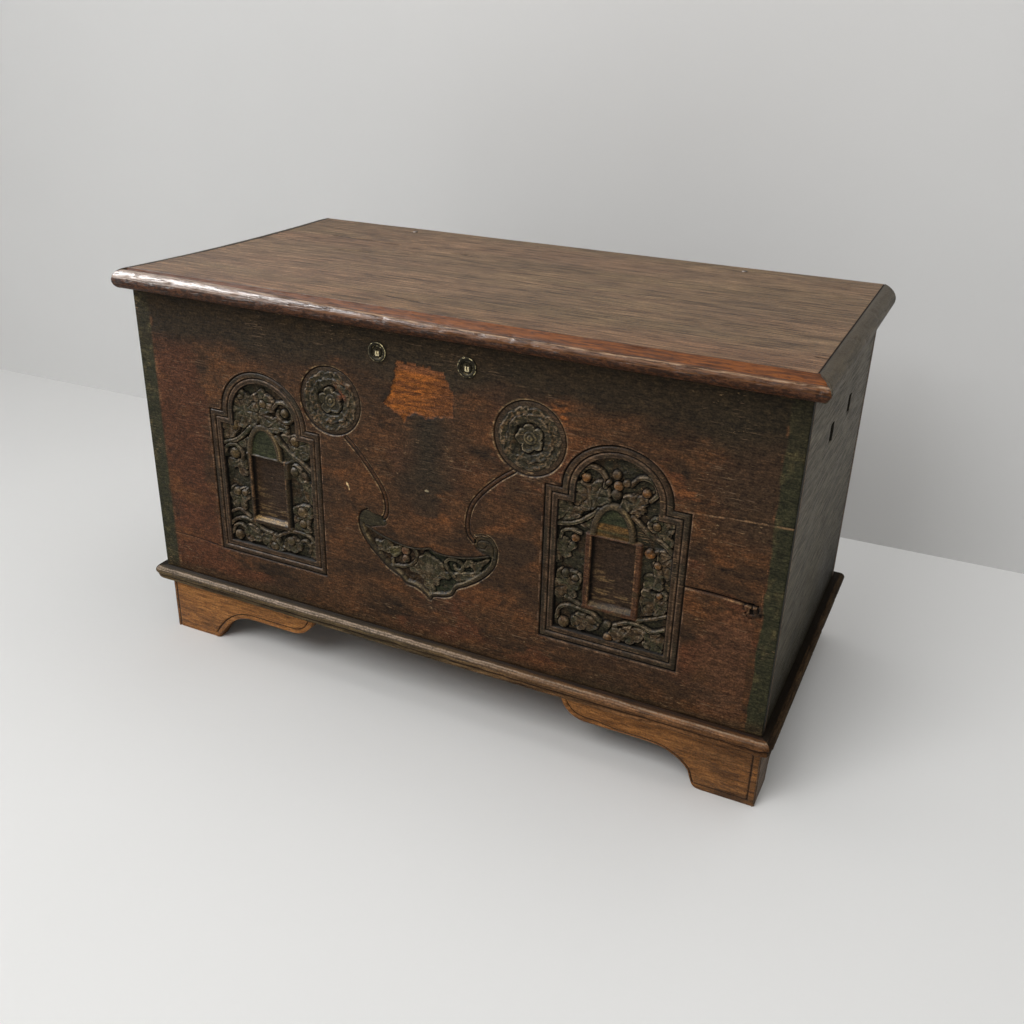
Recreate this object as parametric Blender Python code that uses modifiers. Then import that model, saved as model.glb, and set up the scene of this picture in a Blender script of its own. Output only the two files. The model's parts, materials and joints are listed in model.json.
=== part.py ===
"""A carved wooden storage chest, in metres, +Z up, with its front facing -Y.

The case is four boards, rabbeted and pegged at the corners, on a mitred moulded base with bracket feet.
The lid is one wide board with mitred edge mouldings, hung on two iron strap hinges. Two brass box locks
sit behind the front board: a key plug turns a crank, which slides a bolt through a lug under the lid.
The origin is on the floor, under the middle of the whole chest.
"""
import math

import bmesh
import bpy
from mathutils import Matrix, Vector

# Clearances
FIT = 0.0003                    # gap between pieces that touch
CUT_MARGIN = 0.004              # how far a cutter runs past the face that it cuts
WELD = 0.000001                 # distance within which points of one outline are one point

# Facets
ARC_STEPS = 8                   # straight stretches in a curved outline
ROUND_SIDES = 24                # sides of locks, knuckles and carved circles
PEG_SIDES = 12                  # sides of pegs and nails

# Case
BODY_WIDTH = 1.000              # outside of the end boards
BODY_DEPTH = 0.505              # front face to back face
BODY_HEIGHT = 0.463             # height of the four boards
FRONT_THICKNESS = 0.026
BACK_THICKNESS = 0.022
END_THICKNESS = 0.024
RABBET_DEPTH = 0.010            # how far the end boards are let into the front and back
FLOOR_THICKNESS = 0.018
FLOOR_PLANKS = ("front", "middle", "rear")
PEG_RADIUS = 0.0045
PEG_LENGTH = 0.060
PEG_INSET = 0.045               # from the top and bottom edges of the case

# Slots in the end boards, left by a lost carrying handle
SLOT_SPACING = 0.133
SLOT_DROP = 0.103               # middle of the slot below the top edge
SLOT_LENGTH = 0.034
SLOT_WIDTH = 0.010

# Base
BASE_HEIGHT = 0.030
BASE_OVERHANG = 0.018
BASE_LEDGE = 0.016              # reach inside the case boards, to carry the floor
BASE_NOSE = 0.014               # height of the rounded upper member
BASE_QUIRK = 0.003              # depth of the step under the rounded member
BASE_FOOT_EDGE = 0.004          # outer edge of the underside, outside the case's face

# Feet
FOOT_HEIGHT = 0.088
FOOT_SETBACK = 0.004            # behind the faces of the case
FOOT_THICKNESS = 0.022
WING_HEIGHT = 0.034             # height of the wing above the cove
FRONT_PAD = 0.088
FRONT_COVE = 0.072
FRONT_WING = 0.083
FRONT_TIP = 0.040
SIDE_PAD = 0.065
SIDE_COVE = 0.055
SIDE_WING = 0.025
SIDE_TIP = 0.025
BLOCK_WIDTH = 0.040
BLOCK_LIFT = 0.004              # the glue blocks stop short of the floor

# Lid
LID_THICKNESS = 0.030
LID_OVERHANG = 0.021
LID_NOSE_HEIGHT = 0.0125        # foremost line of the edge moulding above its underside
LID_SOFFIT_ROUND = 0.010        # width of the lower rounding
LID_SHOULDER = 0.002            # flat strip at the top, beside the lid board

# Hinges
HINGE_SPACING = 0.590
STRAP_WIDTH = 0.030
STRAP_LENGTH = 0.200
STRAP_THICKNESS = 0.003
PLATE_HEIGHT = 0.070
KNUCKLE_RADIUS = 0.005
KNUCKLE_GAP = 0.0006            # between the knuckles and the back of the chest
KNUCKLE_SIDE_GAP = 0.0004       # between neighbouring knuckles
LID_KNUCKLE = 0.012             # length of the knuckle on the strap
PIN_RADIUS = 0.0025
PIN_CLEARANCE = 0.0001
PIN_HEAD_RADIUS = 0.0038
PIN_HEAD_HEIGHT = 0.0018
NAIL_RADIUS = 0.0020
NAIL_HEAD_RADIUS = 0.0045
NAIL_HEAD_HEIGHT = 0.0022
STRAP_NAIL_INSETS = (0.008, 0.135)      # from the back board's inner face
PLATE_NAIL_DROPS = (0.022, 0.054)       # below the hinge axis

# Locks
LOCK_SPACING = 0.136
LOCK_MIDDLE_X = -0.006
KEYHOLE_DROP = 0.033            # below the top edge of the front board
RIM_RADIUS = 0.0145
RIM_HEIGHT = 0.0018
BARREL_RADIUS = 0.0095
PLUG_RADIUS = 0.0063
PLUG_CLEARANCE = 0.0002
PLUG_RECESS = 0.0006            # face of the plug behind the face of the rim
PLUG_REACH = 0.0012             # how far the plug enters the lock case
KEYWAY_WIDTH = 0.0022
KEYWAY_HEIGHT = 0.0080
KEYWAY_DEPTH = 0.0120
CASE_HEIGHT = 0.050
CASE_WALL = 0.002
CASE_SLACK = 0.001              # beside the bolt at the ends of its travel
BOLT_THROW = 0.008
BOLT_THICKNESS = 0.003
BOLT_HEIGHT = 0.006
BOLT_WEB = 0.004                # metal left beside the crank slot
BOLT_REST_GAP = 0.001           # between the drawn bolt and the lug
CRANK_PIN_RADIUS = 0.0015
LUG_OFFSET = 0.016              # lug to the right of the plug's axis
LUG_THICKNESS = 0.0025
LUG_WIDTH = 0.009
LUG_CLEARANCE = 0.0006
LUG_END = 0.003                 # metal below the eye
EYE_DROP = 0.010                # middle of the eye below the top edge of the front board
LINK_LENGTH = 0.040
LINK_WIDTH = 0.012
LINK_THICKNESS = 0.002

# Carving on the front board, heights from its lower edge
NICHE_CENTRE = 0.2765           # from the middle of the chest
NICHE_BOTTOM = 0.061
NICHE_HALF_WIDTH = 0.100
NICHE_SHOULDER = 0.232          # from the niche's own lower edge
NICHE_ARCH_HALF = 0.0767
NICHE_ARCH_RISE = 0.070
FRAME_WIDTH = 0.021
FRAME_DEPTH = 0.003
FIELD_DEPTH = 0.008
DOOR_BOTTOM = 0.066             # from the niche's own lower edge
DOOR_HALF_WIDTH = 0.0395
DOOR_HEIGHT = 0.108
DOOR_RECESS_DEPTH = 0.010
POST_WIDTH = 0.0095
LUNETTE_HALF_WIDTH = 0.030
LUNETTE_RISE = 0.040
LUNETTE_RIM = 0.008
LUNETTE_DEPTH = 0.006
ROUNDEL_CENTRE = 0.1545         # from the middle of the chest
ROUNDEL_DROP = 0.117            # below the top edge of the board
ROUNDEL_RADIUS = 0.049
ROUNDEL_BOSS = 0.026
ROUNDEL_DEPTH = 0.004
CRESCENT_HALF_WIDTH = 0.108
CRESCENT_TIP = 0.172
CRESCENT_MIDDLE = 0.147         # upper edge at the middle
CRESCENT_CUSP_HALF = 0.053
CRESCENT_CUSP = 0.102
CRESCENT_POINT = 0.070
CRESCENT_DEPTH = 0.006

# Places that follow from the sizes
REAR_REACH = KNUCKLE_GAP + 2 * KNUCKLE_RADIUS
FRONT_Y = (LID_OVERHANG - BODY_DEPTH - REAR_REACH) / 2
BACK_Y = FRONT_Y + BODY_DEPTH
HALF_WIDTH = BODY_WIDTH / 2
FRONT_INSIDE_Y = FRONT_Y + FRONT_THICKNESS
BACK_INSIDE_Y = BACK_Y - BACK_THICKNESS
BASE_BOTTOM = FOOT_HEIGHT + FIT
BODY_BOTTOM = BASE_BOTTOM + BASE_HEIGHT + FIT
BODY_TOP = BODY_BOTTOM + BODY_HEIGHT
LID_BOTTOM = BODY_TOP + FIT
LID_TOP = LID_BOTTOM + LID_THICKNESS
BASE_INNER = max(FRONT_THICKNESS, BACK_THICKNESS, END_THICKNESS) + BASE_LEDGE
HINGE_Y = BACK_Y + KNUCKLE_GAP + KNUCKLE_RADIUS
HINGE_Z = BODY_TOP - STRAP_THICKNESS / 2
KEYHOLE_Z = BODY_TOP - KEYHOLE_DROP
CASE_FRONT_Y = FRONT_INSIDE_Y + FIT
POCKET_DEPTH = LUG_WIDTH + 2 * LUG_CLEARANCE
BOLT_Y = CASE_FRONT_Y + POCKET_DEPTH / 2
CRANK = BOLT_THROW / 2

# Axes
EAST = Vector((1, 0, 0))
NORTH = Vector((0, 1, 0))
UP = Vector((0, 0, 1))
FACING_FRONT = (math.pi / 2, 0, 0)      # turns a flat outline's XY into XZ
ALONG_Y = (-math.pi / 2, 0, 0)          # turns a turned shape's +Z into +Y
ALONG_MINUS_Y = (math.pi / 2, 0, 0)
ALONG_X = (0, math.pi / 2, 0)
UPSIDE_DOWN = (math.pi, 0, 0)

# Finishes: colour, roughness, metallic
FRONT_WOOD = ((0.075, 0.032, 0.018), 0.55, 0.0)
CASE_WOOD = ((0.060, 0.050, 0.038), 0.60, 0.0)
INSIDE_WOOD = ((0.200, 0.125, 0.070), 0.75, 0.0)
LID_WOOD = ((0.150, 0.095, 0.062), 0.50, 0.0)
MOULDING_WOOD = ((0.135, 0.060, 0.028), 0.40, 0.0)
BASE_WOOD = ((0.085, 0.055, 0.036), 0.50, 0.0)
FOOT_WOOD = ((0.270, 0.130, 0.045), 0.55, 0.0)
IRON = ((0.045, 0.040, 0.036), 0.60, 1.0)
BRASS = ((0.620, 0.470, 0.180), 0.35, 1.0)


def clear_scene():
    """Empties the file of objects and makes the two collections."""
    for item in list(bpy.data.objects):
        bpy.data.objects.remove(item)
    made = []
    for name in ("carved_chest", "cutters"):
        collection = bpy.data.collections.new(name)
        bpy.context.scene.collection.children.link(collection)
        made.append(collection)
    return made


PARTS, CUTTERS = clear_scene()


# Shapes

def arc(centre, radii, start, end, steps=ARC_STEPS):
    """Points on an ellipse about a centre, from one angle in degrees to another."""
    points = []
    for step in range(steps + 1):
        angle = math.radians(start + (end - start) * step / steps)
        points.append((centre[0] + radii[0] * math.cos(angle), centre[1] + radii[1] * math.sin(angle)))
    return points


def circle(radius):
    """A closed circle of points about the origin."""
    return arc((0, 0), (radius, radius), 0, 360, ROUND_SIDES)[:-1]


def rectangle(left, bottom, right, top):
    """The four corners of an upright rectangle."""
    return [(left, bottom), (right, bottom), (right, top), (left, top)]


def box_mesh(name, size):
    """A box about its own middle."""
    mesh = bpy.data.meshes.new(name)
    shape = bmesh.new()
    bmesh.ops.create_cube(shape, size=1, matrix=Matrix.Diagonal((*size, 1)))
    shape.to_mesh(mesh)
    shape.free()
    return mesh


def cylinder_mesh(name, radius, length, sides):
    """A cylinder about its own middle, along Z."""
    mesh = bpy.data.meshes.new(name)
    shape = bmesh.new()
    bmesh.ops.create_cone(shape, cap_ends=True, segments=sides, radius1=radius, radius2=radius, depth=length)
    shape.to_mesh(mesh)
    shape.free()
    return mesh


def outline_mesh(name, outlines, thickness):
    """Flat outlines in XY, filled, with their thickness along Z about the XY plane."""
    curve = bpy.data.curves.new(name, "CURVE")
    curve.dimensions = "2D"
    curve.fill_mode = "BOTH"
    curve.extrude = thickness / 2
    for outline in outlines:
        spline = curve.splines.new("POLY")
        spline.points.add(len(outline) - 1)
        for point, place in zip(spline.points, outline):
            point.co = (*place, 0, 1)
        spline.use_cyclic_u = True
    holder = bpy.data.objects.new(name, curve)
    bpy.context.scene.collection.objects.link(holder)
    evaluated = holder.evaluated_get(bpy.context.evaluated_depsgraph_get())
    mesh = bpy.data.meshes.new_from_object(evaluated)
    bpy.data.objects.remove(holder)
    shape = bmesh.new()
    shape.from_mesh(mesh)
    bmesh.ops.remove_doubles(shape, verts=shape.verts, dist=WELD)
    bmesh.ops.recalc_face_normals(shape, faces=shape.faces)
    shape.to_mesh(mesh)
    shape.free()
    return mesh


def profile_mesh(name, profile, closed):
    """A profile of radius and height in the XZ plane, to be turned about Z."""
    mesh = bpy.data.meshes.new(name)
    edges = [(index, index + 1) for index in range(len(profile) - 1)]
    if closed:
        edges.append((len(profile) - 1, 0))
    mesh.from_pydata([(radius, 0, height) for radius, height in profile], edges, [])
    return mesh


# Objects

def finish_of(name, finish):
    """A material of its own for one piece."""
    colour, roughness, metallic = finish
    material = bpy.data.materials.new(name + "_finish")
    material.use_nodes = True
    shader = material.node_tree.nodes["Principled BSDF"]
    shader.inputs["Base Color"].default_value = (*colour, 1)
    shader.inputs["Roughness"].default_value = roughness
    shader.inputs["Metallic"].default_value = metallic
    material.diffuse_color = (*colour, 1)
    return material


def place(item, location, rotation, carrier=None):
    """Sets a piece down at a place in the chest, carried by an empty if one is given."""
    item.location = location
    item.rotation_euler = rotation
    if carrier is not None:
        item.parent = carrier
        item.matrix_parent_inverse = Matrix.Translation(carrier.location).inverted()


def add_part(name, mesh, finish, location=(0, 0, 0), rotation=(0, 0, 0), carrier=None):
    """A piece of the chest."""
    item = bpy.data.objects.new(name, mesh)
    PARTS.objects.link(item)
    mesh.materials.append(finish_of(name, finish))
    place(item, location, rotation, carrier)
    return item


def add_helper(name, mesh, location=(0, 0, 0), rotation=(0, 0, 0), carrier=None):
    """A shape that cuts a piece or is joined to it."""
    item = bpy.data.objects.new(name, mesh)
    CUTTERS.objects.link(item)
    item.hide_render = True
    item.display_type = "WIRE"
    place(item, location, rotation, carrier)
    return item


def combine(part, helper, operation):
    """A Boolean of a piece with a helper."""
    modifier = part.modifiers.new(helper.name, "BOOLEAN")
    modifier.operation = operation
    modifier.object = helper


def cut(part, helper):
    """Cuts a helper out of a piece."""
    combine(part, helper, "DIFFERENCE")


def join(part, helper):
    """Joins a helper to a piece."""
    combine(part, helper, "UNION")


def turn(part, sides):
    """Turns a profile once about its own Z axis."""
    screw = part.modifiers.new("turned", "SCREW")
    screw.steps = sides
    screw.render_steps = sides
    screw.use_merge_vertices = True
    screw.merge_threshold = WELD
    screw.use_smooth_shade = True


def box_between(name, low, high, finish=None, carrier=None):
    """A box between two corners: a piece if it has a finish, and otherwise a helper."""
    low = Vector(low)
    high = Vector(high)
    mesh = box_mesh(name, high - low)
    middle = (low + high) / 2
    if finish is None:
        return add_helper(name, mesh, middle, carrier=carrier)
    return add_part(name, mesh, finish, middle, carrier=carrier)


def turning(outward, upward):
    """The rotation that takes a mesh's X to one direction and its Y to another."""
    along = outward.cross(upward)
    return Matrix((outward, upward, along)).transposed().to_euler()


def mitre(mesh, end):
    """Cuts one end of a moulding, whose X points outwards, at 45 degrees, outer side longer."""
    for vertex in mesh.vertices:
        if vertex.co.z * end > 0:
            vertex.co.z += end * (vertex.co.x - FIT)


# Case

def side_name(side):
    """The word for the left or right side."""
    return "left" if side < 0 else "right"


def make_case():
    """The four boards, with the end boards standing in rabbets of the front and back boards."""
    front = box_between("front_board", (-HALF_WIDTH, FRONT_Y, BODY_BOTTOM),
                        (HALF_WIDTH, FRONT_INSIDE_Y, BODY_TOP), FRONT_WOOD)
    back = box_between("back_board", (-HALF_WIDTH, BACK_INSIDE_Y, BODY_BOTTOM),
                       (HALF_WIDTH, BACK_Y, BODY_TOP), CASE_WOOD)
    ends = {}
    for side in (-1, 1):
        word = side_name(side)
        inside = side * (HALF_WIDTH - END_THICKNESS)
        outside = side * HALF_WIDTH
        ends[side] = box_between(
            word + "_end_board",
            (min(inside, outside), FRONT_INSIDE_Y - RABBET_DEPTH + FIT, BODY_BOTTOM),
            (max(inside, outside), BACK_INSIDE_Y + RABBET_DEPTH - FIT, BODY_TOP), CASE_WOOD)
        near = side * (HALF_WIDTH - END_THICKNESS - FIT)
        far = side * (HALF_WIDTH + CUT_MARGIN)
        for board, inner_y, step in ((front, FRONT_INSIDE_Y, -1), (back, BACK_INSIDE_Y, 1)):
            bottom_y = inner_y + step * RABBET_DEPTH
            open_y = inner_y - step * CUT_MARGIN
            cut(board, box_between(
                board.name + "_rabbet_" + word,
                (min(near, far), min(bottom_y, open_y), BODY_BOTTOM - CUT_MARGIN),
                (max(near, far), max(bottom_y, open_y), BODY_TOP + CUT_MARGIN)))
    return front, back, ends


def make_pegs(front, back, ends):
    """Corner pegs, driven through the front and back boards into the end boards' edges."""
    heights = {"low": BODY_BOTTOM + PEG_INSET, "high": BODY_TOP - PEG_INSET}
    faces = {"front": (front, FRONT_Y, 1), "back": (back, BACK_Y, -1)}
    for face, (board, face_y, inward) in faces.items():
        for side in (-1, 1):
            for level, height in heights.items():
                name = "_".join(("peg", face, side_name(side), level))
                x = side * (HALF_WIDTH - END_THICKNESS / 2)
                peg = cylinder_mesh(name, PEG_RADIUS, PEG_LENGTH, PEG_SIDES)
                add_part(name, peg, CASE_WOOD, (x, face_y + inward * PEG_LENGTH / 2, height), ALONG_Y)
                reach = PEG_LENGTH + FIT
                hole = cylinder_mesh(name + "_hole", PEG_RADIUS + FIT, reach + CUT_MARGIN, PEG_SIDES)
                middle_y = face_y + inward * (reach - CUT_MARGIN) / 2
                cutter = add_helper(name + "_hole", hole, (x, middle_y, height), ALONG_Y)
                cut(board, cutter)
                cut(ends[side], cutter)


def make_handle_slots(ends):
    """Two upright slots with round ends through each end board."""
    straight = (SLOT_LENGTH - SLOT_WIDTH) / 2
    radius = SLOT_WIDTH / 2
    outline = arc((0, straight), (radius, radius), 0, 180) + arc((0, -straight), (radius, radius), 180, 360)
    middle_y = (FRONT_Y + BACK_Y) / 2
    for side, board in ends.items():
        for step in (-1, 1):
            name = board.name + ("_slot_front" if step < 0 else "_slot_rear")
            mesh = outline_mesh(name, [outline], END_THICKNESS + 2 * CUT_MARGIN)
            place_x = side * (HALF_WIDTH - END_THICKNESS / 2)
            spot = (place_x, middle_y + step * SLOT_SPACING / 2, BODY_TOP - SLOT_DROP)
            cut(board, add_helper(name, mesh, spot, turning(NORTH, UP)))


def make_floor():
    """Planks that lie on the base's inner ledge, between the case boards."""
    low_y = FRONT_INSIDE_Y + FIT
    high_y = BACK_INSIDE_Y - FIT
    pitch = (high_y - low_y + FIT) / len(FLOOR_PLANKS)
    reach = HALF_WIDTH - END_THICKNESS - FIT
    for index, word in enumerate(FLOOR_PLANKS):
        start = low_y + index * pitch
        box_between("floor_plank_" + word, (-reach, start, BODY_BOTTOM),
                    (reach, start + pitch - FIT, BODY_BOTTOM + FLOOR_THICKNESS), INSIDE_WOOD)


# Carving

def arch_outline(half_width, shoulder, arch_half, spring, rise):
    """An upright rectangle with a shoulder on each side and an arch on top."""
    return ([(-half_width, 0), (half_width, 0), (half_width, shoulder), (arch_half, shoulder)]
            + arc((0, spring), (arch_half, rise), 0, 180, ROUND_SIDES // 2)
            + [(-arch_half, shoulder), (-half_width, shoulder)])


def moved(outline, up):
    """An outline lifted by a height."""
    return [(x, y + up) for x, y in outline]


def carve(board, name, outlines, centre_x, height, depth):
    """Sinks flat outlines into the front of a board."""
    mesh = outline_mesh(name, outlines, depth + CUT_MARGIN)
    spot = (centre_x, FRONT_Y + (depth - CUT_MARGIN) / 2, height)
    cut(board, add_helper(name, mesh, spot, FACING_FRONT))


def carve_niche(board, side):
    """An arched niche: a stepped frame, a sunk field, and a little doorway left standing in it."""
    word = side_name(side)
    centre_x = side * NICHE_CENTRE
    height = BODY_BOTTOM + NICHE_BOTTOM
    step = FIT * 2
    frame = arch_outline(
        NICHE_HALF_WIDTH, NICHE_SHOULDER, NICHE_ARCH_HALF, NICHE_SHOULDER + step, NICHE_ARCH_RISE)
    field = moved(arch_outline(
        NICHE_HALF_WIDTH - FRAME_WIDTH, NICHE_SHOULDER - 2 * FRAME_WIDTH, NICHE_ARCH_HALF - FRAME_WIDTH,
        NICHE_SHOULDER - FRAME_WIDTH + step, NICHE_ARCH_RISE - FRAME_WIDTH), FRAME_WIDTH)
    door = moved(arch_outline(
        DOOR_HALF_WIDTH, DOOR_HEIGHT, LUNETTE_HALF_WIDTH, DOOR_HEIGHT + step, LUNETTE_RISE), DOOR_BOTTOM)
    carve(board, "niche_frame_" + word, [frame], centre_x, height, FRAME_DEPTH)
    carve(board, "niche_field_" + word, [field, door], centre_x, height, FIELD_DEPTH)
    opening = DOOR_HALF_WIDTH - POST_WIDTH
    recess = rectangle(-opening, DOOR_BOTTOM + POST_WIDTH, opening, DOOR_BOTTOM + DOOR_HEIGHT - POST_WIDTH)
    carve(board, "niche_door_" + word, [recess], centre_x, height, DOOR_RECESS_DEPTH)
    lunette = arc((0, DOOR_BOTTOM + DOOR_HEIGHT),
                  (LUNETTE_HALF_WIDTH - LUNETTE_RIM, LUNETTE_RISE - LUNETTE_RIM), 0, 180)
    carve(board, "niche_lunette_" + word, [lunette], centre_x, height, LUNETTE_DEPTH)


def carve_roundel(board, side):
    """A sunk ring about a raised boss."""
    carve(board, "roundel_" + side_name(side), [circle(ROUNDEL_RADIUS), circle(ROUNDEL_BOSS)],
          side * ROUNDEL_CENTRE, BODY_TOP - ROUNDEL_DROP, ROUNDEL_DEPTH)


def crescent_half():
    """The right half of the crescent's lower edge, from its point up to its tip."""
    ogee = arc((CRESCENT_CUSP_HALF, CRESCENT_POINT),
               (CRESCENT_CUSP_HALF, CRESCENT_CUSP - CRESCENT_POINT), 180, 90)
    horn = arc((CRESCENT_CUSP_HALF, CRESCENT_TIP),
               (CRESCENT_HALF_WIDTH - CRESCENT_CUSP_HALF, CRESCENT_TIP - CRESCENT_CUSP), 270, 360)
    return ogee + horn[1:]


def carve_crescent(board):
    """A crescent with a hollow upper edge and a pointed lower edge."""
    right = crescent_half()
    left = [(-x, z) for x, z in reversed(right[1:])]
    upper = arc((0, CRESCENT_TIP), (CRESCENT_HALF_WIDTH, CRESCENT_TIP - CRESCENT_MIDDLE), 360, 180)[1:-1]
    carve(board, "crescent", [right + upper + left], 0, BODY_BOTTOM, CRESCENT_DEPTH)


def carve_front(board):
    """All the carving that is sunk into the front board."""
    for side in (-1, 1):
        carve_niche(board, side)
        carve_roundel(board, side)
    carve_crescent(board)


# Mouldings

def base_profile():
    """Section of the base: distance outside the case's face, and height above the underside."""
    radius = BASE_NOSE / 2
    nose = arc((BASE_OVERHANG - radius, BASE_HEIGHT - radius), (radius, radius), 90, -60)
    quirk_z = BASE_HEIGHT - BASE_NOSE
    return ([(-BASE_INNER, BASE_HEIGHT)] + nose
            + [(BASE_OVERHANG - radius, quirk_z), (BASE_OVERHANG - BASE_QUIRK, quirk_z - FIT),
               (BASE_FOOT_EDGE, 0), (-BASE_INNER, 0)])


def lid_profile():
    """Section of the lid's edge moulding: distance outside the lid board, and height above its underside."""
    lower = arc((LID_OVERHANG - LID_SOFFIT_ROUND, LID_NOSE_HEIGHT),
                (LID_SOFFIT_ROUND, LID_NOSE_HEIGHT), 270, 360)
    upper = arc((LID_SHOULDER, LID_NOSE_HEIGHT),
                (LID_OVERHANG - LID_SHOULDER, LID_THICKNESS - LID_NOSE_HEIGHT), 0, 90)
    return [(FIT, 0)] + lower + upper[1:] + [(FIT, LID_THICKNESS)]


def make_mouldings(stem, profile, bottom, rear_y, finish, carrier=None):
    """A front moulding and two side mouldings, mitred at the front corners and square at the back."""
    front = outline_mesh(stem + "_front", [profile], BODY_WIDTH)
    mitre(front, 1)
    mitre(front, -1)
    add_part(stem + "_front", front, finish, (0, FRONT_Y, bottom), turning(-NORTH, UP), carrier)
    for side in (-1, 1):
        name = stem + "_" + side_name(side)
        mesh = outline_mesh(name, [profile], rear_y - FRONT_Y)
        mitre(mesh, side)
        add_part(name, mesh, finish, (side * HALF_WIDTH, (FRONT_Y + rear_y) / 2, bottom),
                 turning(side * EAST, UP), carrier)


def make_base():
    """The moulded base, closed at the back by a plain rail between the side mouldings."""
    rear_y = BACK_Y + REAR_REACH
    make_mouldings("base_moulding", base_profile(), BASE_BOTTOM, rear_y, BASE_WOOD)
    reach = HALF_WIDTH - BASE_INNER - FIT
    box_between("base_rail_back", (-reach, BACK_Y - BASE_INNER, BASE_BOTTOM),
                (reach, rear_y, BASE_BOTTOM + BASE_HEIGHT), BASE_WOOD)


# Feet

def bracket_outline(pad, cove, wing, tip):
    """A bracket foot's face: a pad on the floor, a cove, a straight wing and a rounded tip."""
    underside = FOOT_HEIGHT - WING_HEIGHT
    return ([(0, 0)] + arc((pad + cove, 0), (cove, underside), 180, 90)
            + arc((pad + cove + wing, FOOT_HEIGHT), (tip, WING_HEIGHT), 270, 360)
            + [(0, FOOT_HEIGHT)])


def make_bracket(name, sizes, corner, along, outward):
    """One board of a foot, running from a corner of the chest, mitred to its neighbour there."""
    mesh = outline_mesh(name, [bracket_outline(*sizes)], FOOT_THICKNESS)
    outer = 1 if along.cross(UP).dot(outward) > 0 else -1
    for vertex in mesh.vertices:
        if abs(vertex.co.x) < WELD:
            vertex.co.x = FOOT_THICKNESS / 2 - outer * vertex.co.z + FIT
    add_part(name, mesh, FOOT_WOOD, corner - outward * FOOT_THICKNESS / 2, turning(along, UP))


def make_feet():
    """Four bracket feet, each of two mitred boards and a glue block in the corner behind them."""
    front_sizes = (FRONT_PAD, FRONT_COVE, FRONT_WING, FRONT_TIP)
    side_sizes = (SIDE_PAD, SIDE_COVE, SIDE_WING, SIDE_TIP)
    rows = (("front", -1, FRONT_Y + FOOT_SETBACK, front_sizes),
            ("rear", 1, BACK_Y - FOOT_SETBACK, side_sizes))
    for row, facing, face_y, sizes in rows:
        for side in (-1, 1):
            stem = "foot_" + row + "_" + side_name(side)
            corner = Vector((side * (HALF_WIDTH - FOOT_SETBACK), face_y, 0))
            make_bracket(stem + "_face", sizes, corner, -side * EAST, facing * NORTH)
            make_bracket(stem + "_return", side_sizes, corner, -facing * NORTH, side * EAST)
            near = corner - (FOOT_THICKNESS + FIT) * (side * EAST + facing * NORTH)
            far = near - BLOCK_WIDTH * (side * EAST + facing * NORTH)
            box_between(stem + "_block", (min(near.x, far.x), min(near.y, far.y), BLOCK_LIFT),
                        (max(near.x, far.x), max(near.y, far.y), FOOT_HEIGHT), INSIDE_WOOD)


# Lid

def make_lid():
    """The lid board and its mouldings, carried by an empty on the hinge axis."""
    axis = bpy.data.objects.new("lid_axis", None)
    PARTS.objects.link(axis)
    axis.location = (0, HINGE_Y, HINGE_Z)
    board = box_between("lid_board", (-HALF_WIDTH, FRONT_Y, LID_BOTTOM), (HALF_WIDTH, BACK_Y, LID_TOP),
                        LID_WOOD, axis)
    make_mouldings("lid_moulding", lid_profile(), LID_BOTTOM, BACK_Y, MOULDING_WOOD, axis)
    return axis, board


# Hinges

def knuckle_helper(name, x, radius, length, carrier=None):
    """A cylinder on the hinge axis."""
    mesh = cylinder_mesh(name, radius, length, ROUND_SIDES)
    return add_helper(name, mesh, (x, HINGE_Y, HINGE_Z), ALONG_X, carrier)


def nail_profile(shank):
    """Half section of a nail: a domed head on top and a shank of the given length below."""
    dome = arc((0, 0), (NAIL_HEAD_RADIUS, NAIL_HEAD_HEIGHT), 90, 0, ARC_STEPS // 2)
    return dome + [(NAIL_RADIUS, 0), (NAIL_RADIUS, -shank), (0, -shank)]


def make_nail(name, shank, seat, rotation, boards, carrier=None):
    """A nail with its head on a seat, and the hole for it in each board that it passes through."""
    nail = add_part(name, profile_mesh(name, nail_profile(shank), False), IRON, seat, rotation, carrier)
    turn(nail, PEG_SIDES)
    hole = cylinder_mesh(name + "_hole", NAIL_RADIUS + FIT, 2 * (shank + CUT_MARGIN), PEG_SIDES)
    cutter = add_helper(name + "_hole", hole, seat, rotation, carrier)
    for board in boards:
        cut(board, cutter)


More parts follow.
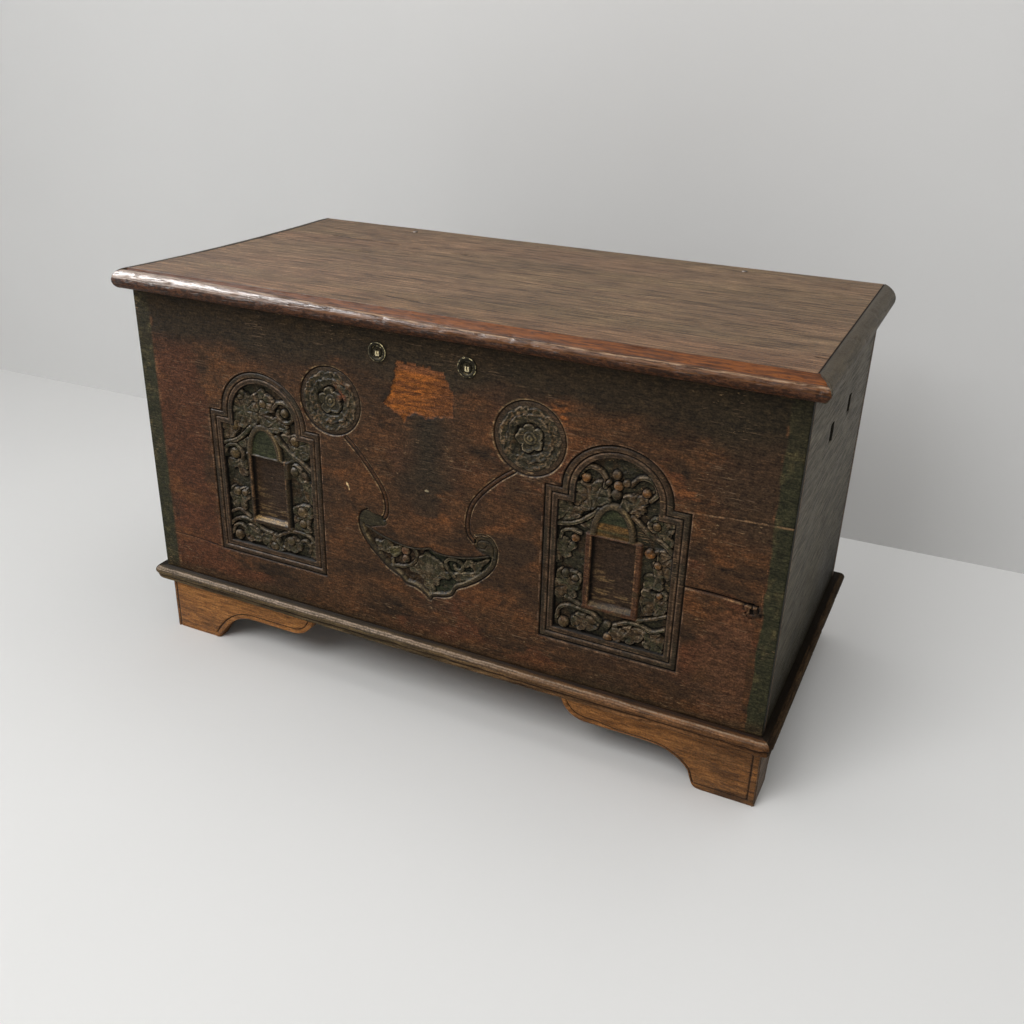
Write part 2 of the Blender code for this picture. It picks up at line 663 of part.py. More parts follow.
def make_strap(word, x, lid_axis, lid_board, back_board):
    """The strap under the lid, with the middle knuckle at its end, let through a notch in the back board."""
    name = "hinge_strap_" + word
    bottom = BODY_TOP - STRAP_THICKNESS
    half = STRAP_WIDTH / 2
    strap = box_between(name, (x - half, BACK_Y - STRAP_LENGTH, bottom), (x + half, HINGE_Y, BODY_TOP),
                        IRON, lid_axis)
    tongue = LID_KNUCKLE / 2
    for side in (-1, 1):
        near = x + side * tongue
        far = x + side * (half + CUT_MARGIN)
        cut(strap, box_between(
            name + "_waist_" + side_name(side), (min(near, far), BACK_Y - FIT, bottom - CUT_MARGIN),
            (max(near, far), HINGE_Y + CUT_MARGIN, BODY_TOP + CUT_MARGIN), carrier=lid_axis))
    join(strap, knuckle_helper(name + "_knuckle", x, KNUCKLE_RADIUS, LID_KNUCKLE, lid_axis))
    bore = PIN_RADIUS + PIN_CLEARANCE
    cut(strap, knuckle_helper(name + "_bore", x, bore, LID_KNUCKLE + CUT_MARGIN, lid_axis))
    cut(back_board, box_between(
        name + "_notch", (x - half - FIT, BACK_INSIDE_Y - CUT_MARGIN, bottom - FIT),
        (x + half + FIT, BACK_Y + CUT_MARGIN, BODY_TOP + CUT_MARGIN)))
    shank = STRAP_THICKNESS + FIT + LID_THICKNESS + FIT
    for number, inset in enumerate(STRAP_NAIL_INSETS, 1):
        seat = (x, BACK_INSIDE_Y - inset, bottom - FIT)
        make_nail(f"hinge_strap_nail_{word}_{number}", shank, seat, UPSIDE_DOWN, (strap, lid_board), lid_axis)


def make_plate(word, x, back_board):
    """The plate on the back board, with a knuckle on each side of the strap's."""
    name = "hinge_plate_" + word
    half = STRAP_WIDTH / 2
    face_y = BACK_Y + FIT
    plate = box_between(name, (x - half, face_y, HINGE_Z - PLATE_HEIGHT),
                        (x + half, face_y + STRAP_THICKNESS, HINGE_Z), IRON)
    gap = LID_KNUCKLE / 2 + KNUCKLE_SIDE_GAP
    length = half - gap
    for side in (-1, 1):
        join(plate, knuckle_helper(name + "_knuckle_" + side_name(side), x + side * (gap + length / 2),
                                   KNUCKLE_RADIUS, length))
    reach = KNUCKLE_RADIUS + KNUCKLE_SIDE_GAP
    cut(plate, box_between(name + "_gap", (x - gap, BACK_Y - CUT_MARGIN, HINGE_Z - reach),
                           (x + gap, HINGE_Y + reach, HINGE_Z + reach)))
    cut(plate, knuckle_helper(name + "_bore", x, PIN_RADIUS + PIN_CLEARANCE, STRAP_WIDTH + CUT_MARGIN))
    for number, drop in enumerate(PLATE_NAIL_DROPS, 1):
        seat = (x, face_y + STRAP_THICKNESS + FIT, HINGE_Z - drop)
        make_nail(f"hinge_plate_nail_{word}_{number}", STRAP_THICKNESS + 2 * FIT + BACK_THICKNESS, seat,
                  ALONG_Y, (plate, back_board))


def make_pin(word, x):
    """A hinge pin with a head at each end."""
    name = "hinge_pin_" + word
    end = STRAP_WIDTH / 2 + FIT
    top = end + PIN_HEAD_HEIGHT
    profile = [(0, top), (PIN_HEAD_RADIUS, top), (PIN_HEAD_RADIUS, end), (PIN_RADIUS, end),
               (PIN_RADIUS, -end), (PIN_HEAD_RADIUS, -end), (PIN_HEAD_RADIUS, -top), (0, -top)]
    pin = add_part(name, profile_mesh(name, profile, False), IRON, (x, HINGE_Y, HINGE_Z), ALONG_X)
    turn(pin, ROUND_SIDES)


def make_hinges(lid_axis, lid_board, back_board):
    """Two strap hinges."""
    for side in (-1, 1):
        x = side * HINGE_SPACING / 2
        make_strap(side_name(side), x, lid_axis, lid_board, back_board)
        make_plate(side_name(side), x, back_board)
        make_pin(side_name(side), x)


# Locks

def crank_lag():
    """Most that a crank's sideways travel differs from travel in step with its turn."""
    angle = math.asin(2 / math.pi)
    return CRANK * (2 * angle / math.pi - (1 - math.cos(angle)))


SLOT_HALF = CRANK_PIN_RADIUS + crank_lag() + FIT
TAIL_HALF = SLOT_HALF + BOLT_WEB
BOLT_LEFT = -CRANK - TAIL_HALF
BOLT_RIGHT = LUG_OFFSET - LUG_THICKNESS / 2 - BOLT_REST_GAP
POCKET_LEFT = BOLT_LEFT - CASE_SLACK
POCKET_RIGHT = BOLT_RIGHT + BOLT_THROW + CASE_SLACK


def make_barrel(word, x, front):
    """A flanged tube in a hole of the front board, whose flange is the rim that shows."""
    name = "lock_barrel_" + word
    bore = PLUG_RADIUS + PLUG_CLEARANCE
    round_edge = RIM_HEIGHT / 2
    crown = arc((RIM_RADIUS - round_edge, round_edge), (round_edge, round_edge), 90, 0, ARC_STEPS // 2)
    profile = ([(bore, RIM_HEIGHT)] + crown
               + [(RIM_RADIUS, 0), (BARREL_RADIUS, 0), (BARREL_RADIUS, -FRONT_THICKNESS),
                  (bore, -FRONT_THICKNESS)])
    mesh = profile_mesh(name, profile, True)
    barrel = add_part(name, mesh, BRASS, (x, FRONT_Y - FIT, KEYHOLE_Z), ALONG_MINUS_Y)
    turn(barrel, ROUND_SIDES)
    reach = FRONT_THICKNESS + CUT_MARGIN
    hole = cylinder_mesh(name + "_hole", BARREL_RADIUS + FIT, 2 * reach, ROUND_SIDES)
    cut(front, add_helper(name + "_hole", hole, (x, FRONT_Y, KEYHOLE_Z), ALONG_MINUS_Y))


def make_plug(word, x):
    """The key plug, with a keyway in its face and a crank pin on its inner end."""
    name = "lock_plug_" + word
    face = RIM_HEIGHT - PLUG_RECESS
    inner_end = -(CASE_FRONT_Y + PLUG_REACH - (FRONT_Y - FIT))
    profile = [(0, face), (PLUG_RADIUS, face), (PLUG_RADIUS, inner_end), (0, inner_end)]
    spot = Vector((x, FRONT_Y - FIT, KEYHOLE_Z))
    plug = add_part(name, profile_mesh(name, profile, False), BRASS, spot, ALONG_MINUS_Y)
    turn(plug, ROUND_SIDES)
    crank_start = spot.y - inner_end - CUT_MARGIN
    crank_end = BOLT_Y + BOLT_THICKNESS / 2 + FIT
    crank = cylinder_mesh(name + "_crank", CRANK_PIN_RADIUS, crank_end - crank_start, PEG_SIDES)
    crank_spot = (x - CRANK, (crank_start + crank_end) / 2, KEYHOLE_Z)
    join(plug, add_helper(name + "_crank", crank, crank_spot, ALONG_Y))
    face_y = spot.y - face
    cut(plug, box_between(name + "_keyway",
                          (x - KEYWAY_WIDTH / 2, face_y - CUT_MARGIN, KEYHOLE_Z - KEYWAY_HEIGHT / 2),
                          (x + KEYWAY_WIDTH / 2, face_y + KEYWAY_DEPTH, KEYHOLE_Z + KEYWAY_HEIGHT / 2)))


def make_lock_case(word, x):
    """A box open towards the front board, with a slot in its top for the lug."""
    name = "lock_case_" + word
    back_y = CASE_FRONT_Y + POCKET_DEPTH
    bottom = BODY_TOP - CASE_HEIGHT
    case = box_between(name, (x + POCKET_LEFT - CASE_WALL, CASE_FRONT_Y, bottom),
                       (x + POCKET_RIGHT + CASE_WALL, back_y + CASE_WALL, BODY_TOP), IRON)
    cut(case, box_between(name + "_pocket", (x + POCKET_LEFT, CASE_FRONT_Y - CUT_MARGIN, bottom + CASE_WALL),
                          (x + POCKET_RIGHT, back_y, BODY_TOP - CASE_WALL)))
    half = LUG_THICKNESS / 2 + LUG_CLEARANCE
    slot_bottom = BODY_TOP - CASE_WALL - CUT_MARGIN
    cut(case, box_between(name + "_slot", (x + LUG_OFFSET - half, CASE_FRONT_Y - CUT_MARGIN, slot_bottom),
                          (x + LUG_OFFSET + half, back_y, BODY_TOP + CUT_MARGIN)))


def make_bolt(word, x):
    """A flat bolt on the floor of the case: a slotted tail that the crank drives, and a head for the lug."""
    bottom = KEYHOLE_DROP - CASE_HEIGHT + CASE_WALL + FIT
    head_middle = KEYHOLE_DROP - EYE_DROP
    head_bottom = head_middle - BOLT_HEIGHT / 2
    head_top = head_middle + BOLT_HEIGHT / 2
    tail_right = -CRANK + TAIL_HALF
    body = [(BOLT_LEFT, bottom), (tail_right, bottom), (tail_right, head_bottom), (BOLT_RIGHT, head_bottom),
            (BOLT_RIGHT, head_top), (BOLT_LEFT, head_top)]
    slot_reach = CRANK + CRANK_PIN_RADIUS + FIT
    slot = rectangle(-CRANK - SLOT_HALF, -slot_reach, -CRANK + SLOT_HALF, slot_reach)
    name = "lock_bolt_" + word
    mesh = outline_mesh(name, [body, slot], BOLT_THICKNESS)
    add_part(name, mesh, BRASS, (x, BOLT_Y, KEYHOLE_Z), FACING_FRONT)


def make_link(word, x, lid_axis, lid_board):
    """A plate let into the underside of the lid, with a lug whose eye takes the bolt."""
    name = "lock_link_" + word
    low = Vector((x + LUG_OFFSET - LINK_LENGTH / 2, BOLT_Y - LINK_WIDTH / 2, LID_BOTTOM))
    high = Vector((x + LUG_OFFSET + LINK_LENGTH / 2, BOLT_Y + LINK_WIDTH / 2, LID_BOTTOM + LINK_THICKNESS))
    link = box_between(name, low, high, BRASS, lid_axis)
    eye_z = BODY_TOP - EYE_DROP
    eye_half = BOLT_HEIGHT / 2 + LUG_CLEARANCE
    half = LUG_THICKNESS / 2
    lug_bottom = eye_z - eye_half - LUG_END
    join(link, box_between(name + "_lug", (x + LUG_OFFSET - half, BOLT_Y - LUG_WIDTH / 2, lug_bottom),
                           (x + LUG_OFFSET + half, BOLT_Y + LUG_WIDTH / 2, LID_BOTTOM + LINK_THICKNESS / 2),
                           carrier=lid_axis))
    eye_side = BOLT_THICKNESS / 2 + LUG_CLEARANCE
    cut(link, box_between(name + "_eye",
                          (x + LUG_OFFSET - half - CUT_MARGIN, BOLT_Y - eye_side, eye_z - eye_half),
                          (x + LUG_OFFSET + half + CUT_MARGIN, BOLT_Y + eye_side, eye_z + eye_half),
                          carrier=lid_axis))
    gap = Vector((FIT, FIT, FIT))
    cut(lid_board, box_between(name + "_recess", low - gap - CUT_MARGIN * UP, high + gap, carrier=lid_axis))


def make_locks(front, lid_axis, lid_board):
    """Two box locks, side by side behind the front board."""
    for side in (-1, 1):
        word = side_name(side)
        x = LOCK_MIDDLE_X + side * LOCK_SPACING / 2
        make_barrel(word, x, front)
        make_plug(word, x)
        make_lock_case(word, x)
        make_bolt(word, x)
        make_link(word, x, lid_axis, lid_board)


def main():
    """Builds the whole chest."""
    front, back, ends = make_case()
    make_pegs(front, back, ends)
    make_handle_slots(ends)
    make_floor()
    carve_front(front)
    make_base()
    make_feet()
    lid_axis, lid_board = make_lid()
    make_hinges(lid_axis, lid_board, back)
    make_locks(front, lid_axis, lid_board)


main()
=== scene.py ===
"""The looks of an old carved storage chest: its painted and carved front, worn lid, mouldings and feet.

Every new piece is a surface worked out with numpy on a grid, in metres, in the frame of the solids.
"""
import json
import math

import bpy
import numpy as np
from mathutils import Matrix, Vector


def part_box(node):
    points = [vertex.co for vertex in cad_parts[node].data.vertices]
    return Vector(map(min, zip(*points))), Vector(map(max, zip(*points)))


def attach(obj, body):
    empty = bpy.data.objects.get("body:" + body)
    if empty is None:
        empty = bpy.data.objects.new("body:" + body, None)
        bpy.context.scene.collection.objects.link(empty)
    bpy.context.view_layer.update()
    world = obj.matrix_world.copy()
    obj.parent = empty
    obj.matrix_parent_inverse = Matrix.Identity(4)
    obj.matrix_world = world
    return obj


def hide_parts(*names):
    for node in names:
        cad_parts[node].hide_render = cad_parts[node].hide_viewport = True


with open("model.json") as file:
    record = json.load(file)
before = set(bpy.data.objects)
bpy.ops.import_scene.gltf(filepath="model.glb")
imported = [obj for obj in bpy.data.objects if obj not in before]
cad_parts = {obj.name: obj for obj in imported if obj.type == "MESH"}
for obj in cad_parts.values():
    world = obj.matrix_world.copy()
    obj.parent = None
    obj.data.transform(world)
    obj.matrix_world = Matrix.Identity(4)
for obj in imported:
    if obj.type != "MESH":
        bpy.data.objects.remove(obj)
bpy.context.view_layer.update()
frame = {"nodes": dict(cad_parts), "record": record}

MM = 0.001
NODES = frame["nodes"]

# Places of the solids that the pieces follow
FRONT_LOW, FRONT_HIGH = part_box("front_board")
LID_LOW, LID_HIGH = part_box("lid_board")
BACK_LOW, BACK_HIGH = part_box("back_board")
END_LOW, END_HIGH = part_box("right_end_board")
BASE_LOW, BASE_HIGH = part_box("base_moulding_front")
HALF_WIDTH = FRONT_HIGH.x
FACE_Y = FRONT_LOW.y
INSIDE_Y = FRONT_HIGH.y
BOARD_LOW = FRONT_LOW.z
BOARD_HEIGHT = FRONT_HIGH.z - FRONT_LOW.z

# Camera, in pixels of a 1024 by 1024 picture, metres and degrees
PICTURE = 1024
FOCAL_PIXELS = 1045.9
SENSOR = 36.0
EYE = Vector((0.6695, -1.3945, 0.9552))
TURN = 25.126
TILT = 25.211
ROLL = 1.642

# Front board, heights from its lower edge, in metres
SKIN = 0.014                # thickness of the carved layer
SKIN_PROUD = 0.0003         # the painted face covers the ends of the pegs
RABBET_EDGE = 0.476         # where the end boards' rabbets begin
RABBET_THICKNESS = 0.016
TILE_STEP = 0.00098
NICHE_X = 0.2765
NICHE_Z = 0.061
ROUNDELS = {-1: (-0.1555, BOARD_HEIGHT - 0.117, 0.0502), 1: (0.1530, BOARD_HEIGHT - 0.1145, 0.0515)}
TILE_OUT = 0.379
TILE_MID = 0.172
TILE_IN = 0.099
TILE_LOW = 0.058
TILE_STEP_UP = 0.294
TILE_TOP = 0.404
LOCK_X = (-0.074, 0.062)
LOCK_Z = BOARD_HEIGHT - 0.033
LOCK_HOLE = 0.010

# Niche, in millimetres from its middle and its lower edge
NICHE_HALF = 100.0
SHOULDER = 232.0
ARCH_HALF = 76.7
ARCH_RISE = 70.0
FRAME = 21.0
GROUND = -8.6
DOOR_LOW = 66.0
DOOR_TOP = 172.0
POST_OUT = 39.5
POST_IN = 30.5
LUNETTE_HALF = 23.0
LUNETTE_RISE = 41.0
LUNETTE_RING = 8.0


def ramp(value, low, high):
    """Smooth step: 0 below low, 1 above high, a cubic between."""
    t = np.clip((value - low) / (high - low), 0, 1)
    return t * t * (3 - 2 * t)


def hump(value, middle, width):
    """A bell about the middle."""
    return np.exp(-((value - middle) / width) ** 2)


def lattice(i, j, seed):
    """A fixed random number from 0 to 1 for each whole-number point."""
    n = (i * 374761393 + j * 668265263 + seed * 1442695041) & 0xFFFFFFFF
    n = ((n ^ (n >> 13)) * 1274126177) & 0xFFFFFFFF
    return ((n ^ (n >> 16)) & 0xFFFF) / 65535.0


def grainless(u, v, seed):
    """Value noise: random numbers on a unit lattice, blended by a cubic."""
    i = np.floor(u).astype(np.int64)
    j = np.floor(v).astype(np.int64)
    s = ramp(u - i, 0, 1)
    t = ramp(v - j, 0, 1)
    low = lattice(i, j, seed) * (1 - s) + lattice(i + 1, j, seed) * s
    high = lattice(i, j + 1, seed) * (1 - s) + lattice(i + 1, j + 1, seed) * s
    return low * (1 - t) + high * t


def cloud(u, v, seed, octaves=4):
    """Value noise summed over octaves, each half as strong and twice as fine, from 0 to 1."""
    total = np.zeros(np.broadcast(u, v).shape)
    for k in range(octaves):
        total += grainless(u * 2 ** k, v * 2 ** k, seed + 17 * k) * 0.5 ** (k + 1)
    return total / (1 - 0.5 ** octaves)


def lines(*stretches):
    """Grid lines over stretches of (start, end, step), joined without doubles."""
    runs = [np.linspace(a, b, max(2, int(round(abs(b - a) / step)) + 1)) for a, b, step in stretches]
    joined = np.concatenate(runs)
    return joined[np.concatenate(([True], np.abs(np.diff(joined)) > 1e-7))]


def linear(red, green, blue):
    """A screen colour, 0 to 255, as linear light."""
    c = np.array((red, green, blue)) / 255.0
    return tuple(np.where(c <= 0.04045, c / 12.92, ((c + 0.055) / 1.055) ** 2.4))


# Meshes

def put_mesh(name, points, quads, others=(), attributes=None):
    """One closed mesh from points, an array of quads and other faces, turned outwards by its signed volume."""
    points = np.asarray(points, float)
    a, b, c, d = (points[quads[:, k]] for k in range(4))
    volume = np.einsum("ij,ij->", a, np.cross(b, c)) + np.einsum("ij,ij->", a, np.cross(c, d))
    for face in others:
        ring = points[np.asarray(face)]
        volume += np.einsum("ij,ij->", np.broadcast_to(ring[0], ring[1:-1].shape),
                            np.cross(ring[1:-1], ring[2:]))
    if volume < 0:
        quads = quads[:, ::-1]
        others = [face[::-1] for face in others]
    corners = np.concatenate([quads.ravel()] + [np.asarray(face) for face in others])
    sizes = np.concatenate([np.full(len(quads), 4), np.array([len(face) for face in others], int)])
    mesh = bpy.data.meshes.new(name)
    mesh.vertices.add(len(points))
    mesh.vertices.foreach_set("co", points.astype(np.float32).ravel())
    mesh.loops.add(len(corners))
    mesh.loops.foreach_set("vertex_index", corners.astype(np.int32))
    mesh.polygons.add(len(sizes))
    mesh.polygons.foreach_set("loop_start", np.concatenate(([0], np.cumsum(sizes)[:-1])).astype(np.int32))
    mesh.polygons.foreach_set("use_smooth", np.ones(len(sizes), bool))
    mesh.update(calc_edges=True)
    for key, values in (attributes or {}).items():
        values = np.asarray(values, np.float32)
        if values.ndim == 2:
            mesh.attributes.new(key, "FLOAT_COLOR", "POINT").data.foreach_set("color", values.ravel())
        else:
            mesh.attributes.new(key, "FLOAT", "POINT").data.foreach_set("value", values)
    piece = bpy.data.objects.new(name, mesh)
    bpy.context.scene.collection.objects.link(piece)
    return piece


def mark_rims(mesh, wall, across):
    """Makes an edge sharp where a side wall meets the face or another side wall at a corner."""
    loop_edge = np.zeros(len(mesh.loops), np.int32)
    mesh.loops.foreach_get("edge_index", loop_edge)
    sizes = np.zeros(len(mesh.polygons), np.int32)
    mesh.polygons.foreach_get("loop_total", sizes)
    loop_wall = np.repeat(wall, sizes)
    loop_across = np.repeat(across, sizes)
    count = len(mesh.edges)
    on_wall = np.bincount(loop_edge[loop_wall], minlength=count) > 0
    on_face = np.bincount(loop_edge[~loop_wall], minlength=count) > 0
    one_way = np.bincount(loop_edge[loop_wall & loop_across], minlength=count) > 0
    other_way = np.bincount(loop_edge[loop_wall & ~loop_across], minlength=count) > 0
    sharp = (on_wall & on_face) | (one_way & other_way)
    mesh.attributes.new("sharp_edge", "BOOLEAN", "EDGE").data.foreach_set("value", sharp)


def slab(name, front, back, cells=None, attributes=None, fan=None, inner=None):
    """A closed board between two grids of points of one shape, its side walls joining their rims.

    cells says which grid squares are there. With fan, a point, the back is a fan of triangles from that
    point to the rim instead of a second grid. inner gives the back's own values where they differ."""
    rows, columns = front.shape[:2]
    count = rows * columns
    index = np.arange(count).reshape(rows, columns)
    if cells is None:
        cells = np.ones((rows - 1, columns - 1), bool)
    a, b = index[:-1, :-1], index[:-1, 1:]
    d, c = index[1:, :-1], index[1:, 1:]
    face = np.stack([q[cells] for q in (a, b, c, d)], 1)
    padded = np.pad(cells, 1)
    here = padded[1:-1, 1:-1]
    sides = []
    for start, end, beyond, across in ((a, d, padded[1:-1, :-2], True), (c, b, padded[1:-1, 2:], True),
                                       (b, a, padded[:-2, 1:-1], False), (d, c, padded[2:, 1:-1], False)):
        rim = here & ~beyond
        p, q = start[rim], end[rim]
        sides.append((np.stack([p, q, q + count, p + count], 1), across))
    walls = np.concatenate([w for w, _ in sides])
    across = np.concatenate([np.full(len(w), flag) for w, flag in sides])
    points = np.concatenate([front.reshape(-1, 3), back.reshape(-1, 3)])
    others = []
    if fan is None:
        quads = np.concatenate([face, face[:, ::-1] + count, walls])
        wall = np.concatenate([np.zeros(2 * len(face), bool), np.ones(len(walls), bool)])
        turn = np.concatenate([np.zeros(2 * len(face), bool), across])
    else:
        quads = np.concatenate([face, walls])
        points = np.concatenate([points, np.asarray(fan, float)[None]])
        others = np.stack([walls[:, 3], walls[:, 2], np.full(len(walls), 2 * count)], 1)
        wall = np.concatenate([np.zeros(len(face), bool), np.ones(len(walls), bool),
                               np.zeros(len(others), bool)])
        turn = np.concatenate([np.zeros(len(face), bool), across, np.zeros(len(others), bool)])
    used = np.zeros(len(points), bool)
    used[quads.ravel()] = True
    if len(others):
        used[others.ravel()] = True
    fresh = np.cumsum(used) - 1
    values = {}
    for key, array in (attributes or {}).items():
        flat = np.asarray(array, float).reshape(count, -1)
        behind = np.full(flat.shape, float(inner[key])) if inner and key in inner else flat
        tail = flat[:1] if fan is not None else flat[:0]
        values[key] = np.squeeze(np.concatenate([flat, behind, tail])[used])
    piece = put_mesh(name, points[used], fresh[quads], list(fresh[others]) if len(others) else (), values)
    mark_rims(piece.data, wall, turn)
    return piece


def sweep(name, sections, start, along, outward, length, mitres, corner, rear, wear, shares):
    """A moulding: a closed section of (outward, up) points carried along a straight path.

    sections are those at the start and at the end, blended between. mitres says which ends run on by the
    outward distance; there the outline is rounded in plan by a circle of the corner's radius, and a square
    rear end by one of the rear radius. wear(run, o, h) gives the points moved outward and up."""
    near, far = (0.026 if mitred or (end and rear) else 0.002 for end, mitred in enumerate(mitres))
    s = lines((0, near, 0.0012), (near, length - far, 0.0034), (length - far, length, 0.0012))[:, None] / length
    blend = ramp(s, 0.08, 0.62)
    o = sections[0][:, 0] * (1 - blend) + sections[1][:, 0] * blend
    h = sections[0][:, 1] * (1 - blend) + sections[1][:, 1] * blend
    widest = sections[0][:, 0].max()
    pull = np.ones_like(s)
    for _ in range(8):
        run = -widest * pull * mitres[0] + s * (length + widest * pull * (mitres[0] + mitres[1]))
        gap = np.full(s.shape, 1.0)
        if mitres[0]:
            gap = np.minimum(gap, widest + run)
        if mitres[1]:
            gap = np.minimum(gap, length + widest - run)
        t = np.clip(gap, corner * (1 - 1 / math.sqrt(2)), corner)
        pull = 1 - (corner - np.sqrt(corner ** 2 - (corner - t) ** 2)) / widest
    if rear:
        t = np.clip(length - s * length, 0, rear)
        pull = np.minimum(pull, 1 - (rear - np.sqrt(rear ** 2 - (rear - t) ** 2)) / widest)
    o = np.where(o > 0, o * pull, o)
    run = -o * mitres[0] + s * (length + o * (mitres[0] + mitres[1]))
    out, up = wear(run, o, h)
    grid = (start[None, None] + run[..., None] * along + out[..., None] * outward
            + up[..., None] * np.array((0, 0, 1.0)))
    steps, size = o.shape
    index = np.arange(steps * size).reshape(steps, size)
    follow = np.roll(index, -1, 1)
    quads = np.stack([index[:-1], follow[:-1], follow[1:], index[1:]], -1).reshape(-1, 4)
    ends = [index[0][::-1], index[-1]]
    piece = put_mesh(name, grid.reshape(-1, 3), quads, ends,
                     {key: np.broadcast_to(share, (steps, size)).ravel() for key, share in shares.items()})
    piece.data.set_sharp_from_angle(angle=math.radians(42))
    return piece


def lathe(name, profile, centre, shares, sides=72):
    """A ring turned about an axis along Y: a closed section of (radius, y) points carried round a circle."""
    turn = np.linspace(0, 2 * math.pi, sides, endpoint=False)[:, None]
    radius = profile[:, 0][None, :]
    grid = np.stack([centre[0] + radius * np.cos(turn), centre[1] + profile[:, 1][None, :] + 0 * turn,
                     centre[2] + radius * np.sin(turn)], -1)
    size = len(profile)
    index = np.arange(sides * size).reshape(sides, size)
    follow = np.roll(index, -1, 1)
    ahead = np.roll(index, -1, 0)
    quads = np.stack([index, follow, np.roll(follow, -1, 0), ahead], -1).reshape(-1, 4)
    piece = put_mesh(name, grid.reshape(-1, 3), quads, (),
                     {key: np.broadcast_to(share, (sides, size)).ravel() for key, share in shares.items()})
    piece.data.set_sharp_from_angle(angle=math.radians(42))
    return piece


# Finishes

class Finish:
    """A finish of nodes that reads Object coordinates and the piece's own attributes."""

    def __init__(self, name):
        self.material = bpy.data.materials.new(name)
        self.material.use_nodes = True
        self.tree = self.material.node_tree
        self.shader = self.tree.nodes["Principled BSDF"]
        self.spot = self.make("ShaderNodeTexCoord").outputs["Object"]

    def make(self, kind, **settings):
        node = self.tree.nodes.new(kind)
        for key, value in settings.items():
            setattr(node, key, value)
        return node

    def put(self, socket, value):
        if isinstance(value, bpy.types.NodeSocket):
            self.tree.links.new(value, socket)
        elif isinstance(value, tuple) and len(value) == 3 and socket.type == "RGBA":
            socket.default_value = (*value, 1)
        else:
            socket.default_value = value

    def noise(self, scale, detail=4.0, roughness=0.55, distortion=0.0, shift=(0, 0, 0)):
        """Cloudy noise from 0 to 1; scale has one number per axis."""
        mapping = self.make("ShaderNodeMapping")
        self.put(mapping.inputs["Vector"], self.spot)
        mapping.inputs["Scale"].default_value = scale
        mapping.inputs["Location"].default_value = shift
        node = self.make("ShaderNodeTexNoise")
        self.put(node.inputs["Vector"], mapping.outputs["Vector"])
        node.inputs["Scale"].default_value = 1.0
        node.inputs["Detail"].default_value = detail
        node.inputs["Roughness"].default_value = roughness
        node.inputs["Distortion"].default_value = distortion
        return node.outputs["Fac"]

    def math(self, operation, first, second=0.0, clamp=False):
        node = self.make("ShaderNodeMath", operation=operation, use_clamp=clamp)
        self.put(node.inputs[0], first)
        self.put(node.inputs[1], second)
        return node.outputs[0]

    def span(self, value, low, high, out_low=0.0, out_high=1.0):
        """Takes low..high to out_low..out_high by a smooth step."""
        node = self.make("ShaderNodeMapRange", interpolation_type="SMOOTHSTEP")
        for key, number in (("Value", value), ("From Min", low), ("From Max", high),
                            ("To Min", out_low), ("To Max", out_high)):
            self.put(node.inputs[key], number)
        return node.outputs["Result"]

    def mix(self, factor, first, second, blend="MIX"):
        node = self.make("ShaderNodeMix", data_type="RGBA", blend_type=blend)
        self.put(node.inputs[0], factor)
        self.put(node.inputs[6], first)
        self.put(node.inputs[7], second)
        return node.outputs[2]

    def steps(self, factor, *stops):
        """A colour ramp of (place, colour) stops."""
        node = self.make("ShaderNodeValToRGB")
        self.put(node.inputs["Fac"], factor)
        bar = node.color_ramp
        bar.elements[0].position, bar.elements[1].position = stops[0][0], stops[-1][0]
        bar.elements[0].color, bar.elements[1].color = (*stops[0][1], 1), (*stops[-1][1], 1)
        for place, colour in stops[1:-1]:
            bar.elements.new(place).color = (*colour, 1)
        return node.outputs["Color"]

    def own(self, name):
        """A value that the piece carries on its points."""
        return self.make("ShaderNodeAttribute", attribute_name=name)

    def axis(self, letter):
        node = self.make("ShaderNodeSeparateXYZ")
        self.put(node.inputs[0], self.spot)
        return node.outputs[letter]

    def done(self, colour, roughness, height, distance, strength=1.0, specular=0.5, metallic=0.0):
        """Wires colour, roughness and a bump of the given height in metres into the shader."""
        bump = self.make("ShaderNodeBump")
        bump.inputs["Distance"].default_value = distance
        bump.inputs["Strength"].default_value = strength
        self.put(bump.inputs["Height"], height)
        self.put(self.shader.inputs["Base Color"], colour)
        self.put(self.shader.inputs["Roughness"], roughness)
        self.put(self.shader.inputs["Normal"], bump.outputs["Normal"])
        self.shader.inputs["Specular IOR Level"].default_value = specular
        self.shader.inputs["Metallic"].default_value = metallic
        return self.material


def along(axis, fine, coarse):
    """Noise scales for grain that runs along one axis: coarse along it, fine across it."""
    return tuple(coarse if letter == axis else fine for letter in "XYZ")


